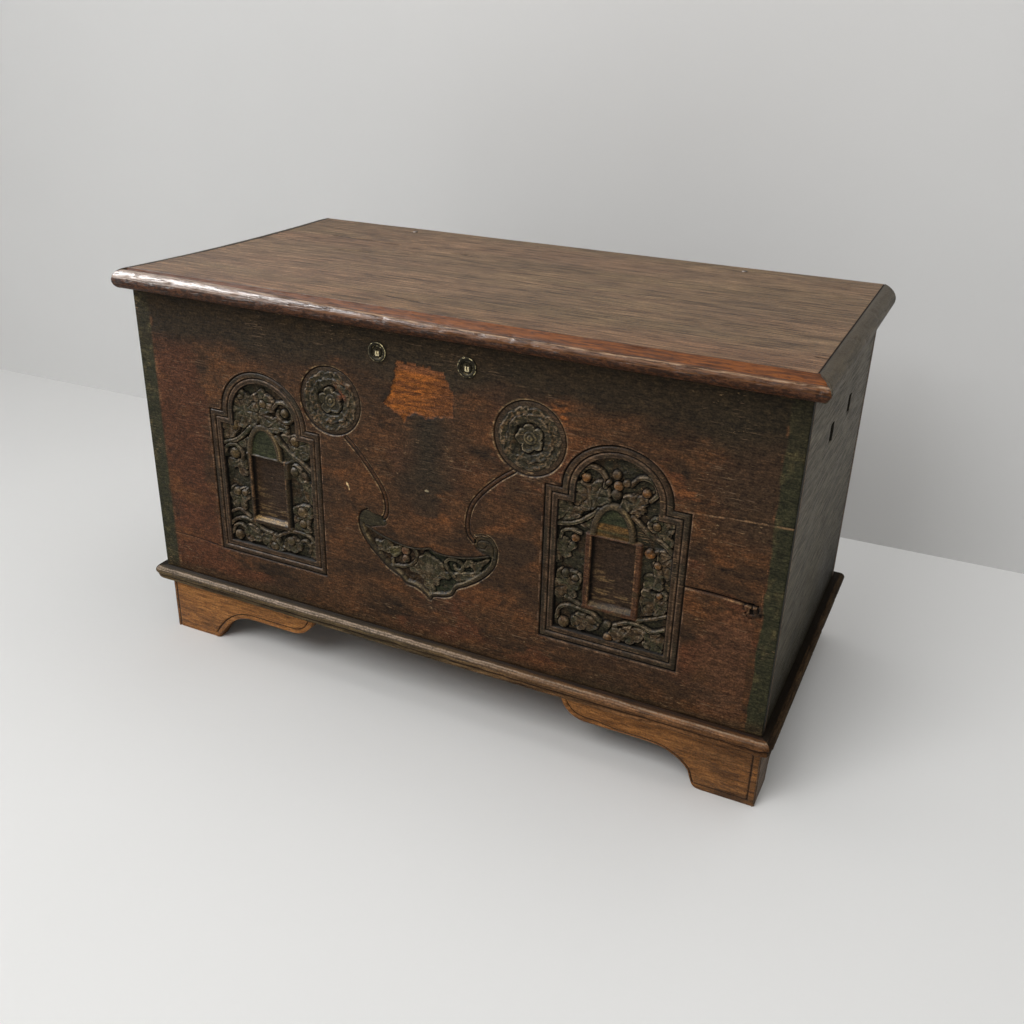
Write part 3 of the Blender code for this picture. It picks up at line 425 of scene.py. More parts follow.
def wood_finish(name, axis, dark, middle, light, rough=(0.42, 0.66), worn=None, tint=None, seed=0.0,
                contrast=1.0, specular=0.25, banded=0.45, scale=(200, 15)):
    """Old board wood: streaks, lines and pores along the grain, specks, cloudy dirt, and what worn adds: rubbed places,
    dark joints, painted shade and painted highlights.
    """
    f = Finish(name)
    shift = (seed, seed * 0.7, seed * 1.3)
    streak = f.noise(along(axis, 40, 1.8), 5, 0.6, 0.6, shift)
    line = f.noise(along(axis, *scale), 4, 0.66, 0.3, shift)
    pore = f.noise(along(axis, scale[0] * 2.3, scale[1] * 2.0), 3, 0.6, 0.0, shift)
    speck = f.noise((360, 360, 360), 3, 0.65, 0.0, shift)
    dirt = f.noise((3.4, 3.4, 3.4), 6, 0.65, 0.5, shift)
    grain = f.math("ADD", f.math("MULTIPLY", streak, banded), f.math("MULTIPLY", line, 1 - banded))
    colour = f.steps(grain, (0.34, dark), (0.50, middle), (0.66, light))
    if tint:
        colour = tint(f, colour)
    colour = f.mix(0.9 * contrast, colour, f.steps(line, (0.30, (0.40, 0.38, 0.36)), (0.47, (0.96, 0.96, 0.96)),
                                                   (0.68, (1.40, 1.38, 1.34))), "MULTIPLY")
    colour = f.mix(0.85 * contrast, colour, f.steps(speck, (0.30, (0.42, 0.42, 0.42)), (0.50, (0.98, 0.98, 0.98)),
                                                    (0.70, (1.60, 1.56, 1.50))), "MULTIPLY")
    colour = f.mix(f.span(pore, 0.54, 0.63, 0.0, 0.82 * contrast), colour, (0.30, 0.27, 0.24), "MULTIPLY")
    colour = f.mix(f.span(dirt, 0.40, 0.64, 0.5, 0.0), colour, (0.52, 0.48, 0.44), "MULTIPLY")
    roughness = f.span(f.math("ADD", f.math("MULTIPLY", dirt, 0.5), f.math("MULTIPLY", speck, 0.5)),
                       0.35, 0.65, rough[0], rough[1])
    # worn may paint shade and highlights as well as wear.
    if worn:
        colour, roughness = worn(f, colour, roughness)
    height = f.math("ADD", f.math("MULTIPLY", line, 0.6),
                    f.math("SUBTRACT", f.math("MULTIPLY", speck, 0.4), f.span(pore, 0.54, 0.68, 0.0, 0.4)))
    return f.done(colour, roughness, height, 0.0012, 0.9, specular)


def front_finish():
    """The painted front: brown wood and paint from the piece's own colours, painted shade in the hollows with dark
    joint lines, flecks.
    """
    f = Finish("painted_front")
    paint = f.own("paint")
    hollow = f.own("hollow").outputs["Fac"]
    streak = f.noise((3.4, 30, 52), 5, 0.62, 0.5)
    broad = f.noise((10, 10, 17), 6, 0.64, 0.8, (2.1, 0.4, 5.3))
    grain = f.math("ADD", f.math("MULTIPLY", streak, 0.3), f.math("MULTIPLY", broad, 0.7))
    bare = f.steps(grain, (0.38, linear(42, 32, 25)), (0.48, linear(64, 46, 34)), (0.58, linear(80, 54, 37)),
                   (0.72, linear(104, 66, 40)))
    ragged = f.noise((60, 60, 150), 4, 0.65)
    cover = f.math("ADD", paint.outputs["Alpha"],
                   f.math("MULTIPLY", f.math("SUBTRACT", ragged, 0.5), 0.9))
    colour = f.mix(f.span(cover, 0.34, 0.66), bare, paint.outputs["Color"])
    mottle = f.noise((140, 140, 190), 5, 0.72, 0.3, (7.7, 1.2, 3.1))
    colour = f.mix(0.95, colour, f.steps(mottle, (0.30, (0.46, 0.46, 0.46)), (0.50, (0.95, 0.94, 0.93)),
                                         (0.70, (1.60, 1.52, 1.42))), "MULTIPLY")
    line = f.noise((48, 190, 420), 4, 0.70, 0.3)
    colour = f.mix(0.9, colour, f.steps(line, (0.32, (0.36, 0.35, 0.34)), (0.48, (0.96, 0.96, 0.96)),
                                        (0.68, (1.50, 1.44, 1.35))), "MULTIPLY")
    speckle = f.noise((430, 430, 560), 2, 0.6, 0.0, (4.1, 2.9, 6.3))
    colour = f.mix(0.95, colour, f.steps(speckle, (0.28, (0.42, 0.42, 0.42)), (0.50, (0.96, 0.96, 0.95)),
                                         (0.72, (1.75, 1.68, 1.56))), "MULTIPLY")
    thick = f.noise((6, 6, 8), 3, 0.6, 0.0, (3.3, 0.6, 2.2))
    fleck = f.noise((95, 170, 500), 2, 0.6, 0.8, (1.7, 8.2, 4.4))
    limit = f.span(thick, 0.40, 0.66, 0.78, 0.65)
    flecks = f.math("MULTIPLY", f.math("SUBTRACT", fleck, limit), 16.0, True)
    colour = f.mix(f.math("MULTIPLY", flecks, 0.6), colour, linear(156, 128, 100))
    colour = f.mix(1.0, colour, (1.03, 0.99, 0.80), "MULTIPLY")
    scratch = f.noise((34, 60, 540), 2, 0.5, 0.8, (6.1, 3.7, 0.9))
    scratched = f.math("MULTIPLY", f.span(scratch, 0.64, 0.70), f.span(thick, 0.46, 0.62))
    colour = f.mix(f.math("MULTIPLY", scratched, 0.5), colour, linear(132, 106, 80))
    # Painted shade: the hollow share darkens grooves, cuts, cracks, holes and slits nearly to black, and gives dark
    # joint lines at the board's ends.
    colour = f.mix(f.span(hollow, 0.08, 1.0, 0.0, 0.95), colour, linear(11, 10, 9))
    rough = f.math("MAXIMUM", f.span(mottle, 0.3, 0.7, 0.40, 0.64), f.math("MULTIPLY", hollow, 0.95))
    height = f.math("ADD", f.math("MULTIPLY", line, 0.45),
                    f.math("ADD", f.math("MULTIPLY", mottle, 0.5), f.math("MULTIPLY", speckle, 0.2)))
    return f.done(colour, rough, height, 0.0018, 0.9, 0.08)


def plug_finish():
    """The lock plugs: near black as painted shade, so that each lock reads as a dark hole, the key slot's lower lip
    rubbed bright.
    """
    f = Finish("lock_plug_brass")
    bits = f.noise((700, 700, 700), 3, 0.6, 0.6)
    lip = f.math("MULTIPLY", f.span(f.axis("Z"), LOCK_Z + BOARD_LOW - 0.0058, LOCK_Z + BOARD_LOW - 0.0042, 0.0, 1.0),
                 f.span(f.axis("Z"), LOCK_Z + BOARD_LOW + 0.0005, LOCK_Z + BOARD_LOW + 0.0022, 1.0, 0.0))
    share = 0.0
    for x in LOCK_X:
        beside = f.math("MULTIPLY", f.span(f.axis("X"), x - 0.0034, x - 0.0022, 0.0, 1.0),
                        f.span(f.axis("X"), x + 0.0020, x + 0.0036, 1.0, 0.0))
        share = f.math("MAXIMUM", beside, share)
    bright = f.math("MULTIPLY", f.math("MULTIPLY", lip, share), f.span(bits, 0.34, 0.52))
    # Painted shade: near black all over, with a few browner specks.
    colour = f.mix(f.span(bits, 0.46, 0.66, 0.0, 0.6), (0.018, 0.015, 0.010), (0.10, 0.08, 0.04))
    colour = f.mix(bright, colour, (0.86, 0.74, 0.46))
    return f.done(colour, f.span(bits, 0.35, 0.65, 0.28, 0.55), bits, 0.0004, 0.8, 0.4, 0.9)


def metal_finish(name, bright, dull, rough, metallic, scale, rubbed=None):
    """Old metal: bright where rubbed, dull and pitted elsewhere."""
    f = Finish(name)
    patch = f.noise((scale, scale, scale), 5, 0.65, 0.4)
    pits = f.noise((scale * 7, scale * 7, scale * 7), 3, 0.6)
    if rubbed:
        patch = f.math("ADD", f.math("MULTIPLY", patch, 0.72), f.math("MULTIPLY", f.own(rubbed).outputs["Fac"], 0.12))
    colour = f.mix(f.span(patch, 0.44, 0.56), dull, bright)
    colour = f.mix(f.span(pits, 0.58, 0.72, 0.0, 0.7), colour, tuple(c * 0.3 for c in dull))
    roughness = f.span(patch, 0.35, 0.65, rough[1], rough[0])
    return f.done(colour, roughness, pits, 0.0005, 0.7, 0.4, metallic)


# Carving of a niche, in millimetres

def scroll(points, steps=14):
    """Points on a smooth curve through the given ones, by cubic blending of neighbours."""
    p = np.asarray(points, float)
    p = np.concatenate([2 * p[:1] - p[1:2], p, 2 * p[-1:] - p[-2:-1]])
    t = np.linspace(0, 1, steps, endpoint=False)[:, None]
    runs = [0.5 * (2 * p[k] + (p[k + 1] - p[k - 1]) * t
                   + (2 * p[k - 1] - 5 * p[k] + 4 * p[k + 1] - p[k + 2]) * t ** 2
                   + (3 * p[k] - p[k - 1] - 3 * p[k + 1] + p[k + 2]) * t ** 3) for k in range(1, len(p) - 2)]
    return np.concatenate(runs + [p[-2:-1]])


def away(u, v, path):
    """Distance from each grid point to a line of points, by the nearest of its stretches."""
    best = np.full(np.broadcast(u, v).shape, 1e9)
    for (au, av), (bu, bv) in zip(path[:-1], path[1:]):
        du, dv = bu - au, bv - av
        t = np.clip(((u - au) * du + (v - av) * dv) / max(du * du + dv * dv, 1e-9), 0, 1)
        best = np.minimum(best, (u - au - t * du) ** 2 + (v - av - t * dv) ** 2)
    return np.sqrt(best)


# Leaf work of the two niches, millimetres from each one's middle and lower edge: leaves (height, outline from the
# root), stems (points, half width) and berries (across, up, radius)
LEFT_WORK = (
    (
        (6.6, ((-28, 212), (-44, 213), (-60, 221), (-61, 237), (-57, 252), (-49, 265), (-37, 269), (-25, 262),
               (-16, 252), (-11, 239), (-10, 226), (-15, 217))),
        (6.2, ((5, 219), (-4, 224), (-7, 239), (14, 237), (28, 239), (36, 234), (43, 226), (40, 219), (32, 222),
               (24, 216), (14, 214))),
        (5.8, ((-68, 187), (-80, 183), (-80, 213), (-66, 217), (-55, 219), (-47, 214), (-48, 206), (-58, 197))),
        (5.8, ((50, 191), (43, 201), (32, 214), (45, 216), (63, 220), (77, 217), (80, 197), (74, 186), (63, 184))),
        (6.0, ((-37, 180), (-50, 186), (-37, 193), (-26, 199), (-24, 186), (-26, 179))),
        (5.6, ((-50, 158), (-70, 158), (-72, 148), (-66, 143), (-56, 148), (-52, 137), (-40, 137), (-40, 157))),
        (6.4, ((-57, 112), (-70, 112), (-74, 100), (-71, 92), (-68, 81), (-57, 76), (-47, 81), (-48, 92), (-39, 100),
               (-42, 112))),
        (5.8, ((46, 171), (59, 170), (68, 160), (74, 150), (62, 147), (53, 152))),
        (5.4, ((79, 150), (64, 144), (66, 130), (69, 122), (79, 115))),
        (6.4, ((59, 66), (46, 66), (46, 86), (45, 101), (54, 107), (74, 109), (76, 92), (69, 78), (73, 67))),
        (6.2, ((-50, 51), (-35, 53), (-21, 42), (-23, 32), (-37, 27), (-51, 30))),
        (6.4, ((-2, 48), (-9, 48), (-21, 39), (-18, 30), (-10, 22), (10, 21), (23, 26), (15, 35), (10, 46))),
        (6.0, ((36, 51), (23, 41), (27, 26), (45, 27), (54, 39), (46, 49))),
        (5.6, ((80, 50), (72, 46), (70, 30), (79, 24))),
        (6.2, ((-12, 256), (-20, 261), (-11, 268), (-1, 276), (9, 270), (18, 264), (20, 250), (11, 244), (-4, 239),
               (-14, 247))),
    ),
    (
        (((-80, 181), (-66, 185), (-50, 192), (-37, 203), (-26, 214)), 3.4),
        (((21, 209), (32, 198), (45, 188), (63, 179), (80, 167)), 3.4),
        (((-77, 162), (-76, 173), (-68, 180), (-55, 181), (-45, 172), (-46, 160)), 2.6),
        (((19, 252), (27, 262), (41, 264), (53, 254), (51, 240), (38, 235), (27, 241), (28, 250)), 2.8),
        (((-74, 70), (-59, 77), (-41, 67)), 2.6),
        (((-80, 45), (-70, 57), (-52, 63), (-32, 60), (-17, 51), (0, 48)), 2.8),
        (((80, 51), (68, 60), (50, 62), (32, 58), (14, 48)), 2.8),
        (((-77, 32), (-72, 45), (-60, 51), (-50, 45)), 2.3),
        (((56, 48), (64, 50), (72, 41), (69, 31)), 2.3),
    ),
    ((-40, 258, 5.0, 0.3), (0, 255, 6.6, 1.0), (39, 249, 7.0, 0.7), (-56, 212, 8.0, 1.0), (54, 209, 8.2, 0.8),
     (-59, 168, 9.6, 0.6), (50, 161, 7.8, 0.2), (-62, 106, 7.8, 0.6), (-47, 107, 6.2, 0.4), (60, 97, 9.4, 0.9),
     (60, 78, 7.2, 0.8), (-65, 31, 9.0, 0.4), (3, 27, 7.8, 0.2), (35, 43, 8.2, 0.3)),
)
RIGHT_WORK = (
    (
        (6.6, ((-33, 207), (-45, 205), (-57, 212), (-60, 226), (-57, 240), (-49, 244), (-40, 240), (-30, 246), (-20, 249),
               (-13, 240), (-9, 226), (-11, 216), (-22, 211))),
        (6.2, ((18, 214), (9, 219), (8, 234), (22, 238), (36, 239), (42, 230), (36, 226), (38, 219), (29, 211))),
        (5.8, ((-77, 181), (-80, 196), (-79, 212), (-67, 213), (-61, 207), (-51, 206), (-46, 199), (-51, 191), (-62, 185))),
        (5.8, ((64, 182), (58, 191), (48, 197), (44, 207), (53, 214), (62, 211), (73, 215), (79, 206), (73, 195), (79, 186),
               (74, 178))),
        (5.8, ((-50, 186), (-36, 180), (-30, 184), (-32, 194), (-40, 192))),
        (5.6, ((-79, 154), (-62, 155), (-53, 149), (-59, 140), (-62, 131), (-71, 130), (-74, 120), (-79, 122))),
        (6.2, ((-62, 70), (-77, 70), (-78, 99), (-68, 113), (-58, 110), (-44, 110), (-44, 88), (-51, 83), (-48, 74))),
        (6.0, ((80, 166), (70, 171), (58, 168), (62, 158), (56, 148), (58, 139), (63, 134), (80, 134))),
        (4.6, ((58, 113), (47, 115), (45, 126), (52, 133), (62, 134), (70, 127), (69, 116))),
        (6.2, ((62, 76), (46, 77), (44, 106), (53, 110), (62, 105), (69, 112), (77, 106), (77, 82))),
        (6.2, ((-49, 47), (-31, 49), (-13, 40), (-20, 30), (-40, 27), (-51, 30))),
        (6.0, ((35, 49), (18, 42), (19, 26), (36, 25), (48, 34), (50, 46))),
        (6.0, ((76, 48), (62, 49), (51, 46), (54, 36), (52, 28), (66, 19), (79, 23))),
        (5.8, ((3, 36), (10, 40), (22, 38), (22, 26), (12, 21), (5, 26))),
    ),
    (
        (((-50, 252), (-46, 262), (-36, 267), (-24, 263), (-16, 253), (-17, 243)), 3.2),
        (((18, 252), (27, 262), (40, 265), (51, 257), (53, 246), (45, 236)), 3.2),
        (((-79, 178), (-62, 181), (-47, 188), (-33, 199), (-22, 210)), 3.3),
        (((24, 209), (36, 199), (49, 189), (67, 181), (80, 170)), 3.3),
        (((-74, 158), (-71, 168), (-59, 173), (-46, 170)), 2.5),
        (((-62, 71), (-49, 66), (-35, 61)), 2.6),
        (((40, 61), (58, 68), (80, 79)), 2.6),
        (((-74, 35), (-72, 49), (-61, 57), (-42, 57), (-24, 55), (-10, 45)), 2.8),
        (((9, 45), (27, 54), (45, 55), (62, 50), (78, 57)), 2.8),
    ),
    ((-43, 250, 6.8, 1.0), (1, 247, 7.0, 1.0), (-2, 262, 6.8, 0.3), (12, 253, 5.6, 0.2), (-1, 235, 7.6, 0.0),
     (-12, 250, 4.6, 0.0), (39, 245, 6.6, 0.7), (56, 203, 6.0, 0.3), (-53, 161, 6.2, 0.8), (50, 163, 7.8, 1.0),
     (62, 149, 5.6, 0.5), (-64, 106, 6.8, 0.0), (-50, 102, 5.8, 0.0), (68, 106, 4.8, 0.6), (-64, 30, 9.2, 0.2),
     (-1, 43, 6.6, 0.0), (1, 23, 7.2, 0.5)),
)


def outline_distance(u, v, points, steps=3):
    """Distance into a smooth closed outline through the points, negative outside."""
    p = list(points)
    path = scroll(p[-2:] + p + p[:2], steps)[2 * steps:(len(p) + 2) * steps + 1]
    inside = np.zeros(u.shape, bool)
    for (au, av), (bu, bv) in zip(path[:-1], path[1:]):
        inside ^= ((av > v) != (bv > v)) & (u < (bu - au) * (v - av) / (bv - av + 1e-12) + au)
    return away(u, v, path) * np.where(inside, 1, -1)


def niche_depth(u, v):
    """Distance inside the niche's outline: the larger of that to a rectangle and that to an arched column."""
    box = np.minimum(np.minimum(NICHE_HALF - np.abs(u), v), SHOULDER - v)
    rise = np.hypot(u / ARCH_HALF, np.maximum(v - SHOULDER, 0) / ARCH_RISE)
    column = np.minimum(ARCH_HALF * (1 - rise), v)
    return np.maximum(box, column)


def beads(depth):
    """Height of the frame: a cut, a flat band, a second cut, a lower flat band and a wall to the ground."""
    level = -0.3 - 0.6 * ramp(depth, 9.6, 12.0) - 2.8 * hump(depth, 1.2, 1.2) - 2.8 * hump(depth, 10.8, 1.1)
    inner = ramp(depth, 19.4, 20.5)
    return level * (1 - inner) + GROUND * inner


def leaf_work(u, v, work, ground, seed, scallop):
    """Leaf carving: heights, the distance into the nearest form, the share of ochre and that of rubbed rims, where worn
    paint and a painted highlight are laid.

    A leaf has lobes round its middle with a cut between each two, a steep edge, a raised rim, a scooped
    middle, folds, and veins from its first point; a stem is a round reed with a groove along it; a berry is a
    ball with a cut round it. scallop is how far the lobes stand out, in millimetres."""
    leaves, stems_of, balls = work
    reach = np.full(u.shape, -99.0)
    ochre = np.zeros(u.shape)
    wander = 1.7 + 3.0 * (cloud(u / 4.2, v / 4.2, seed + 21, 3) - 0.5)
    patchy = ramp(cloud(u / 5, v / 5, seed + 23, 3), 0.34, 0.58)
    fold = ramp(1 - np.abs(2 * cloud(u / 6.5, v / 6.5, seed + 31, 2) - 1), 0.82, 0.97)
    height = ground + 0.9 * (cloud(u / 4, v / 4, seed + 3, 3) - 0.5) + 1.4 * fold
    rubbed = 0.14 * fold * patchy
    for top, points in leaves:
        p = np.asarray(points, float)
        near = ((u > p[:, 0].min() - 6) & (u < p[:, 0].max() + 6) & (v > p[:, 1].min() - 6) & (v < p[:, 1].max() + 6))
        if not near.any():
            continue
        a, b = u[near], v[near]
        root, middle = p[0], p.mean(0)
        girth = np.hypot(*np.diff(np.vstack([p, p[:1]]), axis=0).T).sum()
        count = max(4, round(girth / 19))
        out = np.hypot(a - middle[0], b - middle[1])
        toward = np.arctan2(b - middle[1], a - middle[0]) - math.atan2(root[1] - middle[1], root[0] - middle[0])
        lobe = np.abs(np.sin(0.5 * count * toward + 0.3 * (wander[near] - 1.7)))
        d = outline_distance(a, b, points) + wander[near] + scallop * (lobe - 0.72)
        crease = hump(lobe, 0, 0.22) * ramp(out, 4, 9) * ramp(scallop, 0, 2)
        rib = np.full(a.shape, 9.0)
        for tip in p[2:-1:2]:
            rib = np.minimum(rib, away(a, b, np.array((root, root + 0.86 * (tip - root)))))
        deep = ramp(d, 1.2, 3.0)
        body = ground + top * (1 - np.exp(-np.maximum(d, 0) / 0.7)) - 1.7 * ramp(d, 1.4, 4.5)
        body += deep * (0.6 * hump(rib, 0, 1.0) - 0.4 * hump(rib, 1.8, 0.8) + 0.7 * fold[near])
        body += deep * (0.5 * scallop * (lobe - 0.6) * ramp(out, 3, 10) - 1.5 * crease)
        higher = (d > 0) & (body > height[near])
        height[near] = np.where(higher, body, height[near])
        edge = ramp(d, 0.1, 0.6) * (1 - ramp(d, 1.3, 2.7))
        line = np.maximum(edge, deep * np.maximum(0.6 * hump(rib, 0, 0.9), 0.35 * fold[near])) * patchy[near]
        rubbed[near] = np.where(higher, line * (1 - crease), rubbed[near])
        reach[near] = np.where(higher & (crease > 0.5), -1.5, np.maximum(reach[near], d))
    for points, half in stems_of:
        p = np.asarray(points, float)
        near = ((u > p[:, 0].min() - 9) & (u < p[:, 0].max() + 9) & (v > p[:, 1].min() - 9) & (v < p[:, 1].max() + 9))
        if not near.any():
            continue
        s = (away(u[near], v[near], scroll(points, 6)) + 0.5 * (wander[near] - 1.7)) / half
        body = ground + np.sqrt(np.clip(1 - s * s, 0, 1)) * (0.86 * abs(ground)) - 1.5 * hump(s, 0.1, 0.28)
        cut = (s > 1) & (s < 1.4)
        height[near] = np.where(s < 1, np.maximum(body, height[near] - 0.8),
                                np.where(cut, np.minimum(height[near], ground + 2.4), height[near]))
        rubbed[near] = np.where(s < 1.3, hump(s, 0.6, 0.22) * patchy[near], rubbed[near])
        reach[near] = np.where(cut, -0.8, np.maximum(reach[near], (1 - s) * half))
    for x, y, r, share in balls:
        near = (np.abs(u - x) < r + 6) & (np.abs(v - y) < r + 6)
        if not near.any():
            continue
        d = (np.hypot(u[near] - x, v[near] - y) + 0.6 * (wander[near] - 1.7)) / (0.9 * r)
        body = ground + abs(ground) * 0.86 * np.sqrt(np.clip(1 - (d * 0.94) ** 2, 0, 1)) ** 0.6
        cut = (d >= 1) & (d < 1 + 1.4 / r)
        height[near] = np.where(d < 1, body, np.where(cut, np.minimum(height[near], ground + 2.6), height[near]))
        ochre[near] = np.where(d < 1, share, np.where(cut, 0.0, ochre[near]))
        rubbed[near] = np.where(d < 1, 0.6 * hump(d, 0.72, 0.2) * patchy[near], np.where(cut, 0, rubbed[near]))
        reach[near] = np.where(cut, -0.6, np.maximum(reach[near], (1 - d) * r))
    height += 0.7 * (cloud(u / 3, v / 3, seed + 13, 3) - 0.5)
    return height, reach, ochre, rubbed


def doorway(u, v, lean, thin):
    """Heights of the little door: posts and a sill rail left standing round a sunk panel, a half-round above.

    Thin posts have a deep slit outside them."""
    height = np.full(u.shape, -99.0)
    zone = np.zeros(u.shape)
    across = np.abs(u)
    post = (across < POST_OUT) & (v > DOOR_LOW - 7) & (v < DOOR_TOP + 1)
    edge = np.minimum(POST_OUT - across, np.minimum(v - DOOR_LOW + 7, DOOR_TOP + 1 - v))
    height = np.where(post, -1.8 - 2.0 * (1 - ramp(edge, 0, 1.8)) + 0.6 * (cloud(u / 4, v / 16, 93, 3) - 0.5), height)
    zone = np.where(post, 1, zone)
    slit_top = np.where(u < 0, DOOR_TOP - 1, DOOR_TOP - 26) + 6 * (cloud(u / 5, v / 9, 96, 2) - 0.5)
    slit = post & (across > POST_IN + 4.8) & (v < slit_top) & (v > DOOR_LOW - 1) & thin
    height = np.where(slit, -8.4, height)
    zone = np.where(slit, 6, zone)
    panel = (across < POST_IN) & (v > DOOR_LOW) & (v < DOOR_TOP - 2)
    inner = np.minimum(POST_IN - across, np.minimum(v - DOOR_LOW, DOOR_TOP - 2 - v))
    slope = -9.8 + 5.4 * (1 - ramp(v, DOOR_LOW, DOOR_LOW + 7.0))
    ridges = 2.6 * np.clip(cloud(u / 17, v / 2.9, 91, 3) - 0.52, 0, 1) * (1 - ramp(v, DOOR_LOW + 30, DOOR_LOW + 72))
    sunk = slope + 0.9 * (cloud(u / 14, v / 2.6, 92, 3) - 0.5) + ridges
    wall = ramp(inner, 0, 1.1)
    height = np.where(panel, height * (1 - wall) + sunk * wall, height)
    zone = np.where(panel & (wall > 0.5), 2, zone)
    zone = np.where(panel & (v < DOOR_LOW + 4.4 + 3 * (cloud(u / 6, v / 6, 94, 2) - 0.5)) & (wall > 0.3), 3, zone)
    lift = np.maximum(v - DOOR_TOP, 0)
    off = u - lean
    ring = np.hypot(off / (LUNETTE_HALF + LUNETTE_RING), lift / (LUNETTE_RISE + LUNETTE_RING))
    hood = (ring < 1) & (v >= DOOR_TOP)
    inside = np.hypot(off / LUNETTE_HALF, lift / LUNETTE_RISE)
    width = 1 - LUNETTE_HALF / (LUNETTE_HALF + LUNETTE_RING)
    s = (1 - ring) / width * 2 - 1
    height = np.where(hood, -1.4 - 2.2 * (1 - np.clip(1 - np.abs(s) ** 3, 0, 1) ** 0.5), height)
    zone = np.where(hood, 4, zone)
    sun = (inside < 1) & (v >= DOOR_TOP)
    height = np.where(sun, -5.0 + 1.2 * np.sqrt(np.clip(1 - inside ** 2, 0, 1)), height)
    zone = np.where(sun, 5, zone)
    return height, zone


# Paints: colours are as seen in even light
GREEN_BLACK = linear(38, 39, 31)
GREEN_STRIP = linear(45, 46, 35)
GREEN_LEAF = linear(72, 68, 52)
LEAF_BROWN = linear(86, 67, 50)
GREEN_SUN = linear(56, 64, 47)
OCHRE_PALE = linear(108, 80, 46)
RED_BROWN = linear(74, 49, 35)
RED_POST = linear(76, 52, 41)
FRAME_BROWN = linear(64, 52, 41)
DOOR_BROWN = linear(54, 41, 34)
SILL_PALE = linear(140, 116, 86)
ORANGE_BARE = linear(136, 82, 38)
TOP_DARK = linear(40, 35, 28)
STAIN_DARK = linear(43, 37, 31)


def overlay(paint, colour, share):
    """Lays a colour over a paint layer by its share."""
    share = np.clip(share, 0, 1)
    paint[..., :3] += (np.asarray(colour) - paint[..., :3]) * share[..., None]
    paint[..., 3] = np.maximum(paint[..., 3], share)


